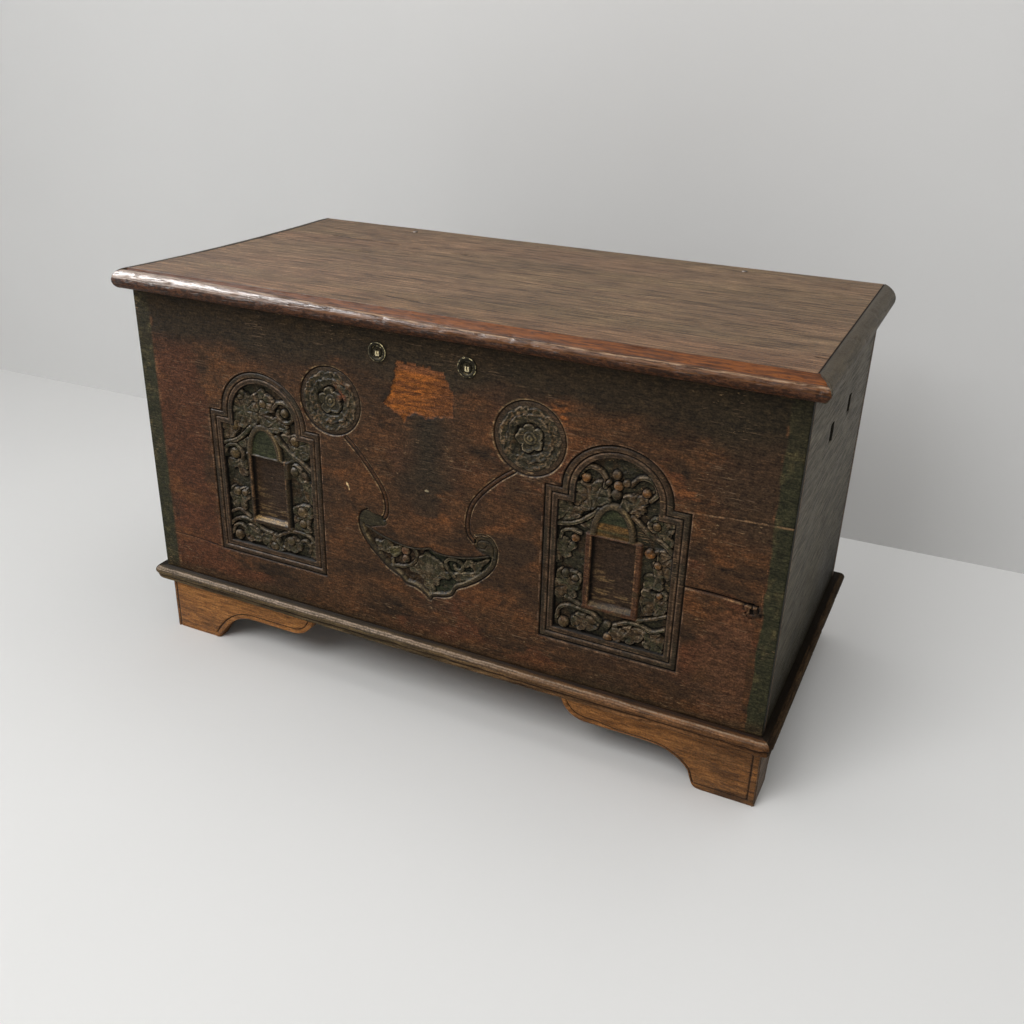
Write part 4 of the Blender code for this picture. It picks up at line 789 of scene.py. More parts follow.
def niche(x, z, side, relief, paint, hollow):
    """Carves and paints one arched niche into the grids."""
    seed = 11 if side < 0 else 23
    u = (x - side * NICHE_X) / MM
    v = (z - NICHE_Z) / MM
    if side < 0:
        v = v / (1 + 0.022 * ramp(-u, -100, 60) * ramp(v, 60, 230))
    depth = niche_depth(u, v)
    within = depth > 0
    level = beads(depth)
    shift = 2.0 if side < 0 else 0.8
    leaves, reach, ochre, rubbed = leaf_work(u + shift, v + 1.2, LEFT_WORK if side < 0 else RIGHT_WORK, GROUND, seed, 1.7 if side < 0 else 2.6)
    lean = -4.5 if side < 0 else -2.3
    doors, zone = doorway(u, v, lean, side < 0)
    core = depth > 20.0
    level = np.where(core, np.where(doors > -50, doors, np.maximum(leaves, level)), level)
    relief += np.where(within, level, 0)
    leafy = (zone == 0) & core
    raised = ramp(reach, 0.0, 0.8) * leafy
    patchy = cloud(u / 14, v / 14, seed + 9)
    overlay(paint, linear(45, 44, 38), core.astype(float))
    overlay(paint, linear(54, 43, 34), core * ramp(cloud(u / 16, v / 16, seed + 6), 0.5, 0.66) * 0.8)
    overlay(paint, linear(53, 49, 40), raised)
    overlay(paint, linear(52, 53, 42), raised * ramp(cloud(u / 9, v / 9, seed + 5), 0.44, 0.62) * 0.7)
    overlay(paint, linear(66, 52, 41), raised * ramp(patchy, 0.50, 0.66) * 0.8)
    overlay(paint, linear(80, 66, 46) if side < 0 else linear(108, 74, 44), raised * ochre)
    # Painted highlight, partly worn paint: pale lines on the leaves' rims, veins and folds.
    overlay(paint, linear(126, 113, 104), rubbed * leafy * 0.85)
    overlay(paint, linear(56, 46, 37) if side < 0 else linear(72, 50, 39), (zone == 1) * 1.0)
    overlay(paint, linear(60, 54, 42), (zone == 1) * ramp(patchy, 0.5, 0.66) * 0.6)
    post_edge = hump(np.abs(u), POST_IN + 1.2, 0.9) * (zone == 1) * ramp(cloud(u / 5, v / 9, seed + 31, 3), 0.42, 0.60)
    overlay(paint, linear(128, 98, 76), post_edge * 0.8)
    overlay(paint, linear(50, 39, 33), (zone == 2) * 1.0)
    scratch = (zone == 2) * ramp(cloud(u / 17, v / 2.9, 91, 3), 0.55, 0.68) * (1 - ramp(v, DOOR_LOW + 30, DOOR_LOW + 72))
    overlay(paint, linear(104, 86, 66), scratch * 0.7)
    # Painted highlight: the sill paler than the panel, where its upward slope catches the light.
    sill = linear(138, 116, 88) if side < 0 else linear(84, 72, 60)
    overlay(paint, sill, (zone == 3) * ramp(cloud(u / 9, v / 3, 95), 0.28, 0.5))
    overlay(paint, linear(66, 57, 46), (zone == 4) * 0.9)
    hood_edge = np.hypot((u - lean) / (LUNETTE_HALF + LUNETTE_RING), np.maximum(v - DOOR_TOP, 0)
                         / (LUNETTE_RISE + LUNETTE_RING))
    overlay(paint, linear(124, 108, 86), (zone == 4) * hump(hood_edge, 0.95, 0.035) * ramp(patchy, 0.36, 0.52) * 0.7)
    overlay(paint, linear(46, 50, 38), (zone == 5) * 1.0)
    if side > 0:
        stripe = (zone == 5) * ramp(DOOR_TOP + 20 - v + 3 * (patchy - 0.5), 0, 2.5) * (1 - hump(v, DOOR_TOP + 7, 3) * 0.8)
        overlay(paint, linear(88, 66, 40), stripe * 0.9)
    frame_part = within & (depth < 20.5)
    tone = cloud(u / 30, v / 30, seed + 7)
    overlay(paint, linear(54, 43, 35), frame_part * 0.95)
    overlay(paint, linear(48, 43, 37), frame_part * ramp(tone, 0.46, 0.62) * 0.8)
    # Painted highlights, partly rubbed paint: light lines on the frame's bead crests, broken by noise.
    broken = 0.25 + 0.75 * ramp(cloud(u / 9, v / 9, seed + 15), 0.38, 0.58)
    crest = hump(depth, -1.2, 1.1) + 0.8 * hump(depth, 8.8, 1.0) + 0.85 * hump(depth, 12.9, 1.0) + 0.5 * hump(depth, 18.6, 1.0)
    overlay(paint, linear(120, 98, 86), (depth > -4) * crest * broken * 0.8)
    # Painted shade: the hollow share darkens the ground beside the leaves, the frame's grooves, the door panel's left
    # wall and top, the lunette's rim, the slit beside the posts and a line round the hood.
    dip = np.where(leafy & (reach < 0), 0.10 + 0.88 * hump(reach, -0.5, 1.7), 0)
    groove = hump(depth, 1.2, 1.3) + 0.95 * hump(depth, 10.8, 1.1) + hump(depth, 20.2, 1.3)
    hollow += np.maximum(dip, (depth > -2) * groove * (depth < 23) * (zone == 0))
    sunk = (zone == 2) * (0.12 + 0.75 * (1 - ramp(POST_IN + u, 0, 7)) + 0.4 * (1 - ramp(DOOR_TOP - 2 - v, 0, 6)))
    rim = np.hypot((u - lean) / LUNETTE_HALF, (v - DOOR_TOP) / LUNETTE_RISE)
    hollow += sunk + (zone == 5) * 0.6 * ramp(rim, 0.84, 1.0) + (zone == 6) * 0.9
    outer = np.abs(hood_edge - 1.02) < 0.03
    hollow += leafy * outer * (v > DOOR_TOP) * 0.7


def roundel(x, z, side, relief, paint, hollow):
    """Carves a sunk disc: a cut ring, a plain band, two rows of ruffled leaves, five petals and an eye.

    The rows end in scalloped outlines over the angle; the petals' outline is a rounded five-lobed curve."""
    centre = ROUNDELS[side]
    u = (x - centre[0]) / MM
    v = (z - centre[1]) / MM
    r = np.hypot(u, v) + 3.6 * (cloud(u / 7, v / 7, 45 + side, 2) - 0.5)
    angle = np.arctan2(v, u) + 0.8 * (cloud(u / 13, v / 13, 47 + side, 2) - 0.5)
    size = centre[2] / MM
    seed = 43 + side
    within = r < size + 3
    ring = np.hypot(u, v) - size
    ruffle = 1 - np.abs(2 * cloud(u / 6.0, v / 6.0, seed, 2) - 1)
    ruffle = ruffle ** 2
    outer = 41.0 + 3.4 * np.abs(np.sin(6.5 * angle + 0.8)) - r
    inner = 31.0 + 2.8 * np.abs(np.sin(5.5 * angle + 0.2)) - r
    leafy = ramp(outer, 0, 0.9) * ramp(r, 21.5, 23.5)
    level = -2.0 * hump(ring, 0, 0.9) - 1.3 * (ring < 0)
    level += leafy * (-0.6 + 2.2 * (1 - np.exp(-np.maximum(outer, 0) / 0.8)) - 1.6 * ramp(outer, 1.2, 6.0) + 1.4 * (ruffle - 0.5))
    level += leafy * (1.8 * ramp(inner, -0.4, 0.5) - 1.4 * ramp(inner, 0.8, 5.0))
    lobes = 13.8 + 6.4 * np.abs(np.cos(2.5 * (angle - 0.5))) ** 0.55
    petal = lobes - r
    on_petal = petal > 0
    well = (~on_petal) & (r < 22.6)
    level = np.where(well, -4.2, level)
    fold = 0.7 * np.abs(np.cos(2.5 * (angle - 0.5)))
    level = np.where(on_petal, -4.2 + 3.5 * (1 - np.exp(-np.maximum(petal, 0) / 0.8)) - 1.9 * ramp(petal, 1.4, 5.5) + fold, level)
    eye = r < 9.4
    dome = -3.0 + 2.8 * np.sqrt(np.clip(1 - (r / 9.4) ** 2, 0, 1)) ** 0.6 - 1.7 * hump(r, 5.0, 1.0)
    level = np.where(eye, dome, level)
    relief += np.where(within, level, 0)
    tone = cloud(u / 10, v / 10, 61 + side)
    patchy = ramp(cloud(u / 4.5, v / 4.5, 67 + side, 3), 0.38, 0.60)
    overlay(paint, linear(56, 47, 40), (ring < 0) * 0.9)
    overlay(paint, linear(48, 46, 38), (ring < -7) * 0.9)
    # Painted highlights: lighter on the ruffles' ridges, along the scalloped outlines, on the petal rims, on the eye's
    # rings and outside the cut ring.
    overlay(paint, linear(100, 78, 60), leafy * ramp(ruffle, 0.56, 0.86) * ramp(tone, 0.42, 0.62) * 0.6)
    light = np.maximum(hump(outer, 1.0, 0.9), 0.9 * hump(inner, 0.8, 0.9) * leafy) + 0.5 * leafy * ramp(ruffle, 0.74, 0.94)
    overlay(paint, linear(134, 117, 104), np.clip(light, 0, 1) * patchy * (ring < -2) * (r > 20) * 0.7)
    overlay(paint, linear(136, 126, 114), on_petal * (~eye) * ramp(petal, 0.1, 0.5) * (1 - ramp(petal, 1.6, 3.2)) * (0.12 + 0.7 * patchy))
    overlay(paint, linear(124, 112, 92), (hump(r, 8.0, 1.2) + hump(r, 3.2, 1.1)) * (0.1 + 0.7 * patchy) * 0.85)
    overlay(paint, linear(146, 126, 104), hump(ring, 1.6, 0.9) * (0.35 + 0.55 * patchy))
    if side < 0:
        red = hump(np.hypot(u - 20, v - 17), 0, 11) * ramp(cloud(u / 8, v / 8, 66), 0.40, 0.54)
        overlay(paint, linear(116, 66, 48), red * 0.9)
    # Painted shade in the cut ring, between the ruffles, along the outlines, round the petals and round the eye.
    hollow += within * (0.95 * hump(ring, -0.2, 1.2) + 0.7 * leafy * (1 - ramp(ruffle, 0.06, 0.34))
                        + 0.7 * hump(outer, -0.7, 0.9) + 0.7 * leafy * hump(inner, -0.8, 0.9)
                        + 0.9 * well * hump(petal, -0.7, 1.7) + 0.35 * well + 0.8 * hump(r, 9.8, 0.9)
                        + 0.65 * hump(r, 5.0, 0.9))


# Crescent: its outline from the left tip by its point to the right tip, its upper edge from right to left, its leaf
# work, and the curls at its tips, millimetres
CRESCENT_RIM = ((-99, 193), (-110, 186), (-115, 174), (-114, 161), (-108, 146), (-95, 130), (-83, 119), (-68, 106),
                (-54, 99), (-45, 94), (-37, 86), (-21, 84), (-6, 77), (4, 69), (10, 76), (28, 80), (41, 87), (48, 99),
                (63, 107), (83, 121), (99, 137), (108, 152), (111, 170), (109, 181), (101, 192), (90, 195), (77, 192))
CRESCENT_TOP = ((99, 166), (83, 160), (63, 154), (39, 150), (14, 150), (3, 155), (-8, 151), (-32, 148), (-54, 151),
                (-79, 157), (-102, 166))
CRESCENT_WORK = (
    (
        (5.0, ((2, 96), (10, 88), (6, 79), (1, 86), (-6, 92), (-8, 103), (-17, 108), (-28, 110), (-28, 119), (-17, 121),
               (-17, 131), (-8, 138), (-3, 144), (6, 140), (17, 135), (24, 130), (26, 121), (34, 119), (34, 110), (23, 110),
               (17, 106), (14, 95))),
        (4.6, ((-74, 129), (-83, 134), (-89, 144), (-78, 142), (-73, 148), (-63, 147), (-60, 139), (-65, 130))),
        (4.8, ((-61, 127), (-64, 137), (-53, 140), (-45, 144), (-47, 132), (-56, 125))),
        (4.6, ((41, 121), (57, 126), (72, 130), (84, 135), (82, 127), (63, 117), (46, 112))),
        (4.4, ((60, 136), (72, 140), (78, 133), (88, 146), (96, 157), (84, 150), (74, 146), (64, 148))),
    ),
    (
        (((-60, 120), (-57, 112), (-43, 112), (-30, 117), (-21, 126), (-18, 135), (-21, 144), (-28, 147)), 2.4),
        (((43, 117), (32, 126), (29, 137), (37, 144), (50, 143), (57, 137), (54, 130), (46, 130), (43, 135)), 2.5),
    ),
    ((-37, 139, 7.6, 1.0), (-37, 126, 6.8, 0.8)),
)
LEFT_CURL = ((-114, 172), (-110, 185), (-99, 191), (-88, 187), (-76, 186), (-68, 180), (-70, 172), (-84, 168), (-98, 164))
RIGHT_CURL = ((108, 160), (110, 178), (103, 190), (88, 193), (76, 186), (75, 176), (84, 168), (98, 164))
RIGHT_COIL = ((104, 165), (104, 178), (97, 186), (86, 186), (79, 180), (82, 173), (90, 173), (93, 178))


def crescent(x, z, relief, paint, hollow):
    """Carves the crescent: a sunk field of leaf work inside a plain rolled rim, with a curl at each tip."""
    u = x / MM
    v = z / MM
    near = (np.abs(u) < 124) & (v > 56) & (v < 204)
    rim = scroll(CRESCENT_RIM, 6)
    top = scroll(CRESCENT_TOP, 6)
    to_rim = away(u, v, rim)
    to_top = away(u, v, top)
    ring = CRESCENT_RIM[2:-4] + CRESCENT_TOP
    inside = near & (outline_distance(u, v, ring, 2) > 0)
    width = 5.6 + 2.0 * ramp(np.abs(u), 30, 90)
    field = inside * ramp(to_rim - width, 0, 1.2) * ramp(to_top, 3.0, 4.2)
    cuts = near * (-2.2 * hump(to_rim, 0, 1.0) - 1.5 * hump(to_top, 0, 0.9))
    s = (to_rim - width / 2 - 0.6) / (width / 2)
    roll = inside * (-0.4 - 1.6 * (1 - np.clip(1 - np.abs(s) ** 3, 0, 1) ** 0.5) * (np.abs(s) < 1))
    leaves, reach, ochre, rubbed = leaf_work(u + 1.0, v + 0.8, CRESCENT_WORK, -6.8, 71, 1.0)
    level = (cuts + roll) * (1 - field) + field * leaves
    left = outline_distance(u, v, LEFT_CURL, 3)
    right = outline_distance(u, v, RIGHT_CURL, 3)
    curl = np.maximum(left, right)
    on_curl = (curl > 0) & near & ~(field > 0.5)
    coil = away(u, v, scroll(RIGHT_COIL, 6))
    level = np.where(on_curl, -0.9 - 1.9 * hump(coil, 0, 0.9) - 1.2 * (1 - ramp(curl, 0, 1.6)), level)
    relief += np.where(near, level, 0)
    raised = field * ramp(reach, 0, 0.8)
    tone = cloud(u / 9, v / 9, 77)
    patchy = ramp(cloud(u / 7, v / 7, 80, 3), 0.32, 0.56)
    overlay(paint, linear(50, 45, 37), inside * 0.95)
    overlay(paint, linear(48, 46, 37), on_curl * np.where(u < 0, 0.95, 0.7))
    overlay(paint, np.where((u < 0)[..., None], linear(52, 42, 35), linear(40, 44, 37)), field)
    overlay(paint, linear(53, 51, 42), raised)
    overlay(paint, linear(66, 54, 42), raised * ramp(tone, 0.48, 0.64) * 0.7)
    pale = raised * (np.abs(u - 1.2) < 6.5) * (np.abs(v - 119.5) < 6.5)
    overlay(paint, linear(86, 78, 70), pale * 0.8)
    overlay(paint, linear(80, 76, 52), raised * hump(np.hypot(u + 56, v - 134), 0, 8) * 0.8)
    overlay(paint, linear(96, 68, 54), raised * ochre * ramp(cloud(u / 5, v / 5, 84), 0.36, 0.56) * 0.9)
    # Painted highlights, partly rubbed paint: pale lines on the leaves, outside the rim and along its inner edge.
    overlay(paint, linear(128, 117, 106), field * rubbed * 0.65)
    beyond = near * (~inside) * (~on_curl)
    overlay(paint, linear(150, 132, 110), beyond * hump(to_rim, 1.6, 0.9) * (0.15 + 0.6 * patchy))
    overlay(paint, linear(128, 114, 94), inside * hump(to_rim, width - 0.3, 0.9) * patchy * 0.75)
    # Painted shade beside the leaves, at the foot of the rim, in the cuts and round the curls.
    dip = field * (reach < 0) * (0.12 + 0.86 * hump(reach, -0.5, 1.7))
    foot = field * 0.85 * (1 - ramp(to_rim - width, 0.6, 2.6)) * ramp(-level, 3.5, 5.5)
    hollow += near * (0.95 * hump(to_rim, -0.1, 1.3) * (~on_curl) + 0.8 * hump(to_top, 0, 1.0) + np.maximum(dip, foot)
                      + on_curl * 0.8 * (hump(coil, 0, 1.0) + hump(curl, 0, 1.2)))


LEFT_STEM = ((-130, 296), (-113, 280), (-99, 264), (-86, 248), (-74, 231), (-68, 216), (-66, 203), (-68, 190), (-72, 183))
RIGHT_STEM = ((133, 300), (112, 284), (92, 265), (80, 251), (71, 237), (66, 222), (64, 206), (66, 192), (74, 182))


def stems(x, z, relief, paint, hollow):
    """Cuts the two long stems: a flat band between two fine grooves along each curve, painted shade in the grooves and
    a painted highlight along their outer edges.
    """
    u = x / MM
    v = z / MM
    patchy = ramp(cloud(u / 8, v / 8, 86, 3), 0.32, 0.56)
    for points in (LEFT_STEM, RIGHT_STEM):
        d = away(u, v, scroll(points, 6))
        clear = 1.0
        for cx, cz, size in ROUNDELS.values():
            clear = clear * (np.hypot(x - cx, z - cz) > size + 0.0008)
        relief -= clear * (1.8 * hump(d, 2.9, 1.0) + 0.3 * (d < 2.9))
        overlay(paint, linear(52, 42, 34), clear * (d < 2.9) * 0.5)
        # Painted highlight along the outer edges, and painted shade in the grooves.
        overlay(paint, linear(140, 120, 98), clear * hump(d, 4.6, 0.9) * (0.2 + 0.6 * patchy))
        hollow += clear * 0.9 * hump(d, 2.9, 1.2)


# Cracks in the front: start, end (millimetres), half width, depth and how strong the painted highlight along their
# lower edges is
CRACKS = (((378, 191), (470, 187), 1.5, 3.4, 0.9), ((384, 296), (499, 302), 0.5, 0.9, 0.8),
          ((-470, 67), (-377, 63), 0.6, 1.0, 0.2), ((-480, 212), (-420, 208), 0.45, 0.7, 0.2),
          ((-470, 143), (-392, 147), 0.45, 0.7, 0.2))
PATCH = ((-43, 421), (-20, 421), (8, 419), (26, 415), (33, 404), (40, 390), (41, 357), (17, 355), (0, 346), (-17, 353),
         (-35, 341), (-44, 347), (-64, 356), (-65, 361), (-53, 374), (-50, 394))


def ragged_polygon(u, v, corners, seed, rough):
    """Signed distance into a polygon by its nearest edge, with noise added."""
    ring = np.asarray(corners + corners[:1], float)
    inside = np.zeros(u.shape, bool)
    for (au, av), (bu, bv) in zip(ring[:-1], ring[1:]):
        crossing = ((av > v) != (bv > v)) & (u < (bu - au) * (v - av) / (bv - av + 1e-12) + au)
        inside ^= crossing
    distance = away(u, v, ring) * np.where(inside, 1, -1)
    return distance + rough * (cloud(u / 11, v / 6, seed) - 0.5)


def front_layers(x, z):
    """Relief in metres, paint and hollow shares of the whole front over grids of x and height; the hollow share is
    painted as shade and dark joint lines.
    """
    u = x / MM
    v = z / MM
    relief = np.zeros(x.shape)
    hollow = np.zeros(x.shape)
    paint = np.zeros(x.shape + (4,))
    paint[..., :3] = RED_BROWN
    wide = cloud(u / 130, v / 60, 5)
    small = cloud(u / 36, v / 14, 8)
    top_edge = BOARD_HEIGHT / MM - v
    overlay(paint, linear(72, 44, 32), (1 - ramp(u + 60 * (wide - 0.5), -410, -350)) * 0.7)
    overlay(paint, linear(80, 50, 37), ramp(cloud(u / 150, v / 90, 29), 0.52, 0.72) * 0.7)
    overlay(paint, linear(92, 60, 38), ramp(cloud(u / 70, v / 34, 19), 0.58, 0.72) * 0.6)
    overlay(paint, STAIN_DARK, ramp(wide, 0.54, 0.72) * 0.7)
    overlay(paint, linear(54, 43, 35), ramp(u + 70 * (small - 0.5), 360, 430) * ramp(v + 50 * (wide - 0.5), 215, 290) * 0.85)
    overlay(paint, TOP_DARK, (1 - ramp(top_edge + 60 * (wide - 0.5) + 30 * (small - 0.5), 42, 96)) * 0.92)
    centre = hump(u, 4 + 20 * (small - 0.5), 74) * ramp(v + 40 * (small - 0.5), 205, 275) * (1 - ramp(v, 400, 430))
    overlay(paint, linear(52, 44, 36), centre * 0.75)
    streak = hump(u, 2 + 6 * (small - 0.5), 24 + 10 * (small - 0.5)) * ramp(v, 190, 290) * (1 - ramp(v, 352, 372))
    overlay(paint, STAIN_DARK, streak * 0.95)
    streaky = hump(u, 366, 26) * hump(v - 0.15 * (366 - u), 319, 9)
    overlay(paint, linear(122, 78, 50), streaky * ramp(cloud(u / 16, v / 3, 45), 0.38, 0.62) * 0.8)
    overlay(paint, linear(128, 78, 44), hump(u, 196, 14) * hump(v, 388, 16) * ramp(cloud(u / 16, v / 3, 46), 0.4, 0.58))
    for reach, seed in ((-473, 31), (477, 33)):
        edge = np.sign(reach) * (u - reach) + 6 * (cloud(u / 20, v / 24, seed) - 0.5)
        overlay(paint, GREEN_STRIP, ramp(edge, -1.6, 1.6) * (0.5 + 0.5 * ramp(top_edge + 50 * (wide - 0.5), 20, 110)))
        overlay(paint, linear(112, 78, 58), hump(edge, -1.6, 1.0) * ramp(cloud(u / 6, v / 20, seed + 8), 0.5, 0.6) * 0.8)
        overlay(paint, linear(76, 70, 52), ramp(edge, -3, 3) * ramp(cloud(u / 9, v / 14, seed + 4), 0.62, 0.74) * 0.6)
        hollow += 0.25 * hump(edge, -2, 1.6)
        hollow += 0.35 * (1 - ramp(HALF_WIDTH / MM - np.abs(u) + 2 * (small - 0.5), 0.4, 1.8))
    low_right = ramp(u + 60 * (small - 0.5), 385, 430) * (1 - ramp(u, 466, 473))
    overlay(paint, linear(84, 60, 48), low_right * (1 - ramp(v + 40 * (wide - 0.5), 130, 190)) * 0.6)
    low = 1 - ramp(v + 14 * (small - 0.5), 4, 22)
    overlay(paint, linear(58, 48, 38), low * 0.7)
    patch = ragged_polygon(u, v, PATCH, 51, 9)
    bare = ramp(patch, -0.8, 0.8)
    overlay(paint, ORANGE_BARE, bare)
    overlay(paint, linear(92, 56, 32), bare * ramp(cloud(u / 22, v / 3, 53), 0.44, 0.60) * 0.85)
    overlay(paint, linear(84, 54, 36), bare * ramp(u - 0.5 * (v - 385), -14, 30) * 0.75)
    overlay(paint, linear(112, 74, 56), bare * hump(v, 417, 7) * 0.7)
    relief -= 1.0 * bare
    relief += bare * 0.5 * (cloud(u / 18, v / 2.5, 54, 3) - 0.5)
    relief += 0.9 * hump(v, 349, 4) * (np.abs(u + 8) < 36) * cloud(u / 6, v / 4, 55)
    # Painted shade under the patch's lower edge and round its outline.
    hollow += 0.7 * hump(v, 346, 2.6) * (np.abs(u + 8) < 34) * cloud(u / 8, v / 6, 57)
    hollow += 0.45 * hump(patch, -1.2, 1.6)
    for (au, av), (bu, bv), half, deep, pale in CRACKS:
        d = away(u, v, scroll([(au, av), ((au + bu) / 2, (av + bv) / 2 + 1.5), (bu, bv)], 10))
        # Painted shade in each crack, and a painted highlight along its lower edge.
        relief -= deep * hump(d, 0, half + 0.4)
        hollow += 0.95 * hump(d, 0, half + 0.3) * (1 - 0.6 * (half < 0.6))
        below = v < av + (bv - av) * (u - au) / (bu - au)
        edge = hump(d, half + 1.1, 1.1) * below * ramp(cloud(u / 14, v / 3, 59), 0.32, 0.52)
        overlay(paint, linear(130, 104, 82), edge * pale)
    worm = np.hypot((u - 463) / 1.25, v - 179)
    knot = hump(worm, 0, 11)
    relief -= 3.4 * knot * ramp(cloud(u / 4, v / 4, 63, 3), 0.50, 0.60)
    # Painted shade in the worm holes.
    hollow += 0.95 * ramp(knot, 0.15, 0.6) * ramp(cloud(u / 4, v / 4, 63, 3), 0.48, 0.58)
    overlay(paint, linear(118, 98, 82), ramp(knot, 0.15, 0.6) * ramp(cloud(u / 3, v / 4, 64, 3), 0.58, 0.70) * 0.5)
    chip = np.hypot((u + 131 + 0.35 * (v - 222)) / 2.6, (v - 222) / 9)
    overlay(paint, linear(190, 170, 140), (1 - ramp(chip, 0.5, 1.0)) * ramp(cloud(u / 3, v / 5, 67), 0.4, 0.6))
    chip = np.hypot((u - 0) / 4, (v - 242) / 2.4)
    overlay(paint, linear(150, 142, 128), (1 - ramp(chip, 0.5, 1.0)) * 0.9)
    for side in (-1, 1):
        if np.abs(x - side * NICHE_X).min() < NICHE_HALF * MM:
            niche(x, z, side, relief, paint, hollow)
        if np.abs(x - ROUNDELS[side][0]).min() < 0.045 and z.max() > ROUNDELS[side][1]:
            roundel(x, z, side, relief, paint, hollow)
    stems(x, z, relief, paint, hollow)
    if np.abs(x).min() < 0.1:
        crescent(x, z, relief, paint, hollow)
    wave = 0.5 * (cloud(u / 210, v / 120, 3, 2) - 0.5) - 0.2
    return (relief + wave) * MM, paint, np.clip(hollow, 0, 1)


def front_piece(name, xs, zs, cells, finish, fan=None):
    """One part of the carved layer: the front's relief over a grid, with a plain back."""
    x, z = np.meshgrid(xs, zs)
    relief, paint, hollow = front_layers(x, z)
    rim = np.minimum(HALF_WIDTH - np.abs(x), np.minimum(z, BOARD_HEIGHT - z)) / MM
    relief -= 1.2 * MM * (1 - np.sqrt(np.clip(1 - (1 - np.clip(rim / 2.5, 0, 1)) ** 2, 0, 1)))
    front = np.stack([x, FACE_Y - SKIN_PROUD - relief, z + BOARD_LOW], -1)
    back = np.stack([x, np.full(x.shape, FACE_Y + SKIN), z + BOARD_LOW], -1)
    if fan is not None:
        fan = (fan[0], FACE_Y + SKIN, fan[1] + BOARD_LOW)
    piece = slab(name, front, back, cells, {"paint": paint, "hollow": hollow}, fan)
    dress(piece, finish, "chest")
    return piece


def dress(piece, finish, body):
    """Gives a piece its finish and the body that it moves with."""
    piece.data.materials.append(finish)
    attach(piece, body)


def middles(values):
    return (values[1:] + values[:-1]) / 2


def make_front(finish, inner):
    """The front: three finely carved parts, a plainer part round them, and the board behind."""
    for side, word in ((-1, "left"), (1, "right")):
        xs = np.sort(side * lines((TILE_IN, TILE_MID, TILE_STEP), (TILE_MID, TILE_OUT, TILE_STEP)))
        zs = lines((TILE_LOW, TILE_STEP_UP, TILE_STEP), (TILE_STEP_UP, TILE_TOP, TILE_STEP))
        low = (middles(zs) < TILE_STEP_UP)[:, None]
        near = (np.abs(middles(xs)) < TILE_MID)[None, :]
        front_piece("front_niche_" + word, xs, zs, ~(low & near), finish, (side * 0.28, 0.34))
    xs = lines((-TILE_MID, TILE_MID, TILE_STEP))
    zs = lines((TILE_LOW, TILE_STEP_UP, TILE_STEP))
    front_piece("front_crescent", xs, zs, np.ones((len(zs) - 1, len(xs) - 1), bool), finish, (0, 0.18))
    step = 0.005
    holes = [(x - LOCK_HOLE, x + LOCK_HOLE) for x in LOCK_X]
    xs = lines((-HALF_WIDTH, -HALF_WIDTH + 0.006, 0.001), (-HALF_WIDTH + 0.006, -TILE_OUT, 0.004),
               (-TILE_OUT, -TILE_MID, step), (-TILE_MID, -TILE_IN, step), (-TILE_IN, holes[0][0], step),
               (*holes[0], 0.002), (holes[0][1], holes[1][0], 0.002), (*holes[1], 0.002),
               (holes[1][1], TILE_IN, step), (TILE_IN, TILE_MID, step), (TILE_MID, TILE_OUT, step),
               (TILE_OUT, 0.446, 0.004), (0.446, 0.482, 0.0012), (0.482, HALF_WIDTH - 0.006, 0.004),
               (HALF_WIDTH - 0.006, HALF_WIDTH, 0.001))
    zs = lines((0, 0.006, 0.001), (0.006, TILE_LOW, 0.004), (TILE_LOW, 0.072, 0.001), (0.072, 0.138, step),
               (0.138, 0.150, 0.0012), (0.150, 0.164, step), (0.164, 0.182, 0.0012), (0.182, 0.196, 0.0008),
               (0.196, 0.205, step),
               (0.205, 0.215, 0.0012), (0.215, TILE_STEP_UP, step), (TILE_STEP_UP, 0.304, 0.001),
               (0.304, 0.340, 0.004), (0.340, TILE_TOP, 0.002), (TILE_TOP, LOCK_Z - LOCK_HOLE, 0.002),
               (LOCK_Z - LOCK_HOLE, LOCK_Z + LOCK_HOLE, 0.004), (LOCK_Z + LOCK_HOLE, BOARD_HEIGHT - 0.006, 0.004),
               (BOARD_HEIGHT - 0.006, BOARD_HEIGHT, 0.001))
    x, z = np.meshgrid(middles(xs), middles(zs))
    across = np.abs(x)
    arms = (across > TILE_IN) & (across < TILE_OUT) & (z > TILE_STEP_UP) & (z < TILE_TOP)
    lower = (across < TILE_OUT) & (z > TILE_LOW) & (z < TILE_STEP_UP)
    cells = ~(arms | lower)
    for left, right in holes:
        cells &= ~((x > left) & (x < right) & (np.abs(z - LOCK_Z) < LOCK_HOLE))
    field = front_piece("front_field", xs, zs, cells, finish)
    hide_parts("front_board")
    xs = lines((-HALF_WIDTH, -RABBET_EDGE - 0.0001, 0.012), (-RABBET_EDGE, holes[0][0], 0.04), (*holes[0], 0.02),
               (holes[0][1], holes[1][0], 0.04), (*holes[1], 0.02), (holes[1][1], RABBET_EDGE, 0.04),
               (RABBET_EDGE + 0.0001, HALF_WIDTH, 0.012))
    zs = lines((0, LOCK_Z - LOCK_HOLE, 0.03), (LOCK_Z - LOCK_HOLE, LOCK_Z + LOCK_HOLE, 0.02),
               (LOCK_Z + LOCK_HOLE, BOARD_HEIGHT, 0.02))
    x, z = np.meshgrid(xs, zs)
    mx, mz = np.meshgrid(middles(xs), middles(zs))
    cells = np.ones(mx.shape, bool)
    for left, right in holes:
        cells &= ~((mx > left) & (mx < right) & (np.abs(mz - LOCK_Z) < LOCK_HOLE))
    deep = np.where(np.abs(x) > RABBET_EDGE, FACE_Y + RABBET_THICKNESS, INSIDE_Y)
    front = np.stack([x, np.full(x.shape, FACE_Y + SKIN), z + BOARD_LOW], -1)
    core = slab("front_board_back", front, np.stack([x, deep, z + BOARD_LOW], -1), cells)
    dress(core, inner, "chest")


# Lid, ends, mouldings

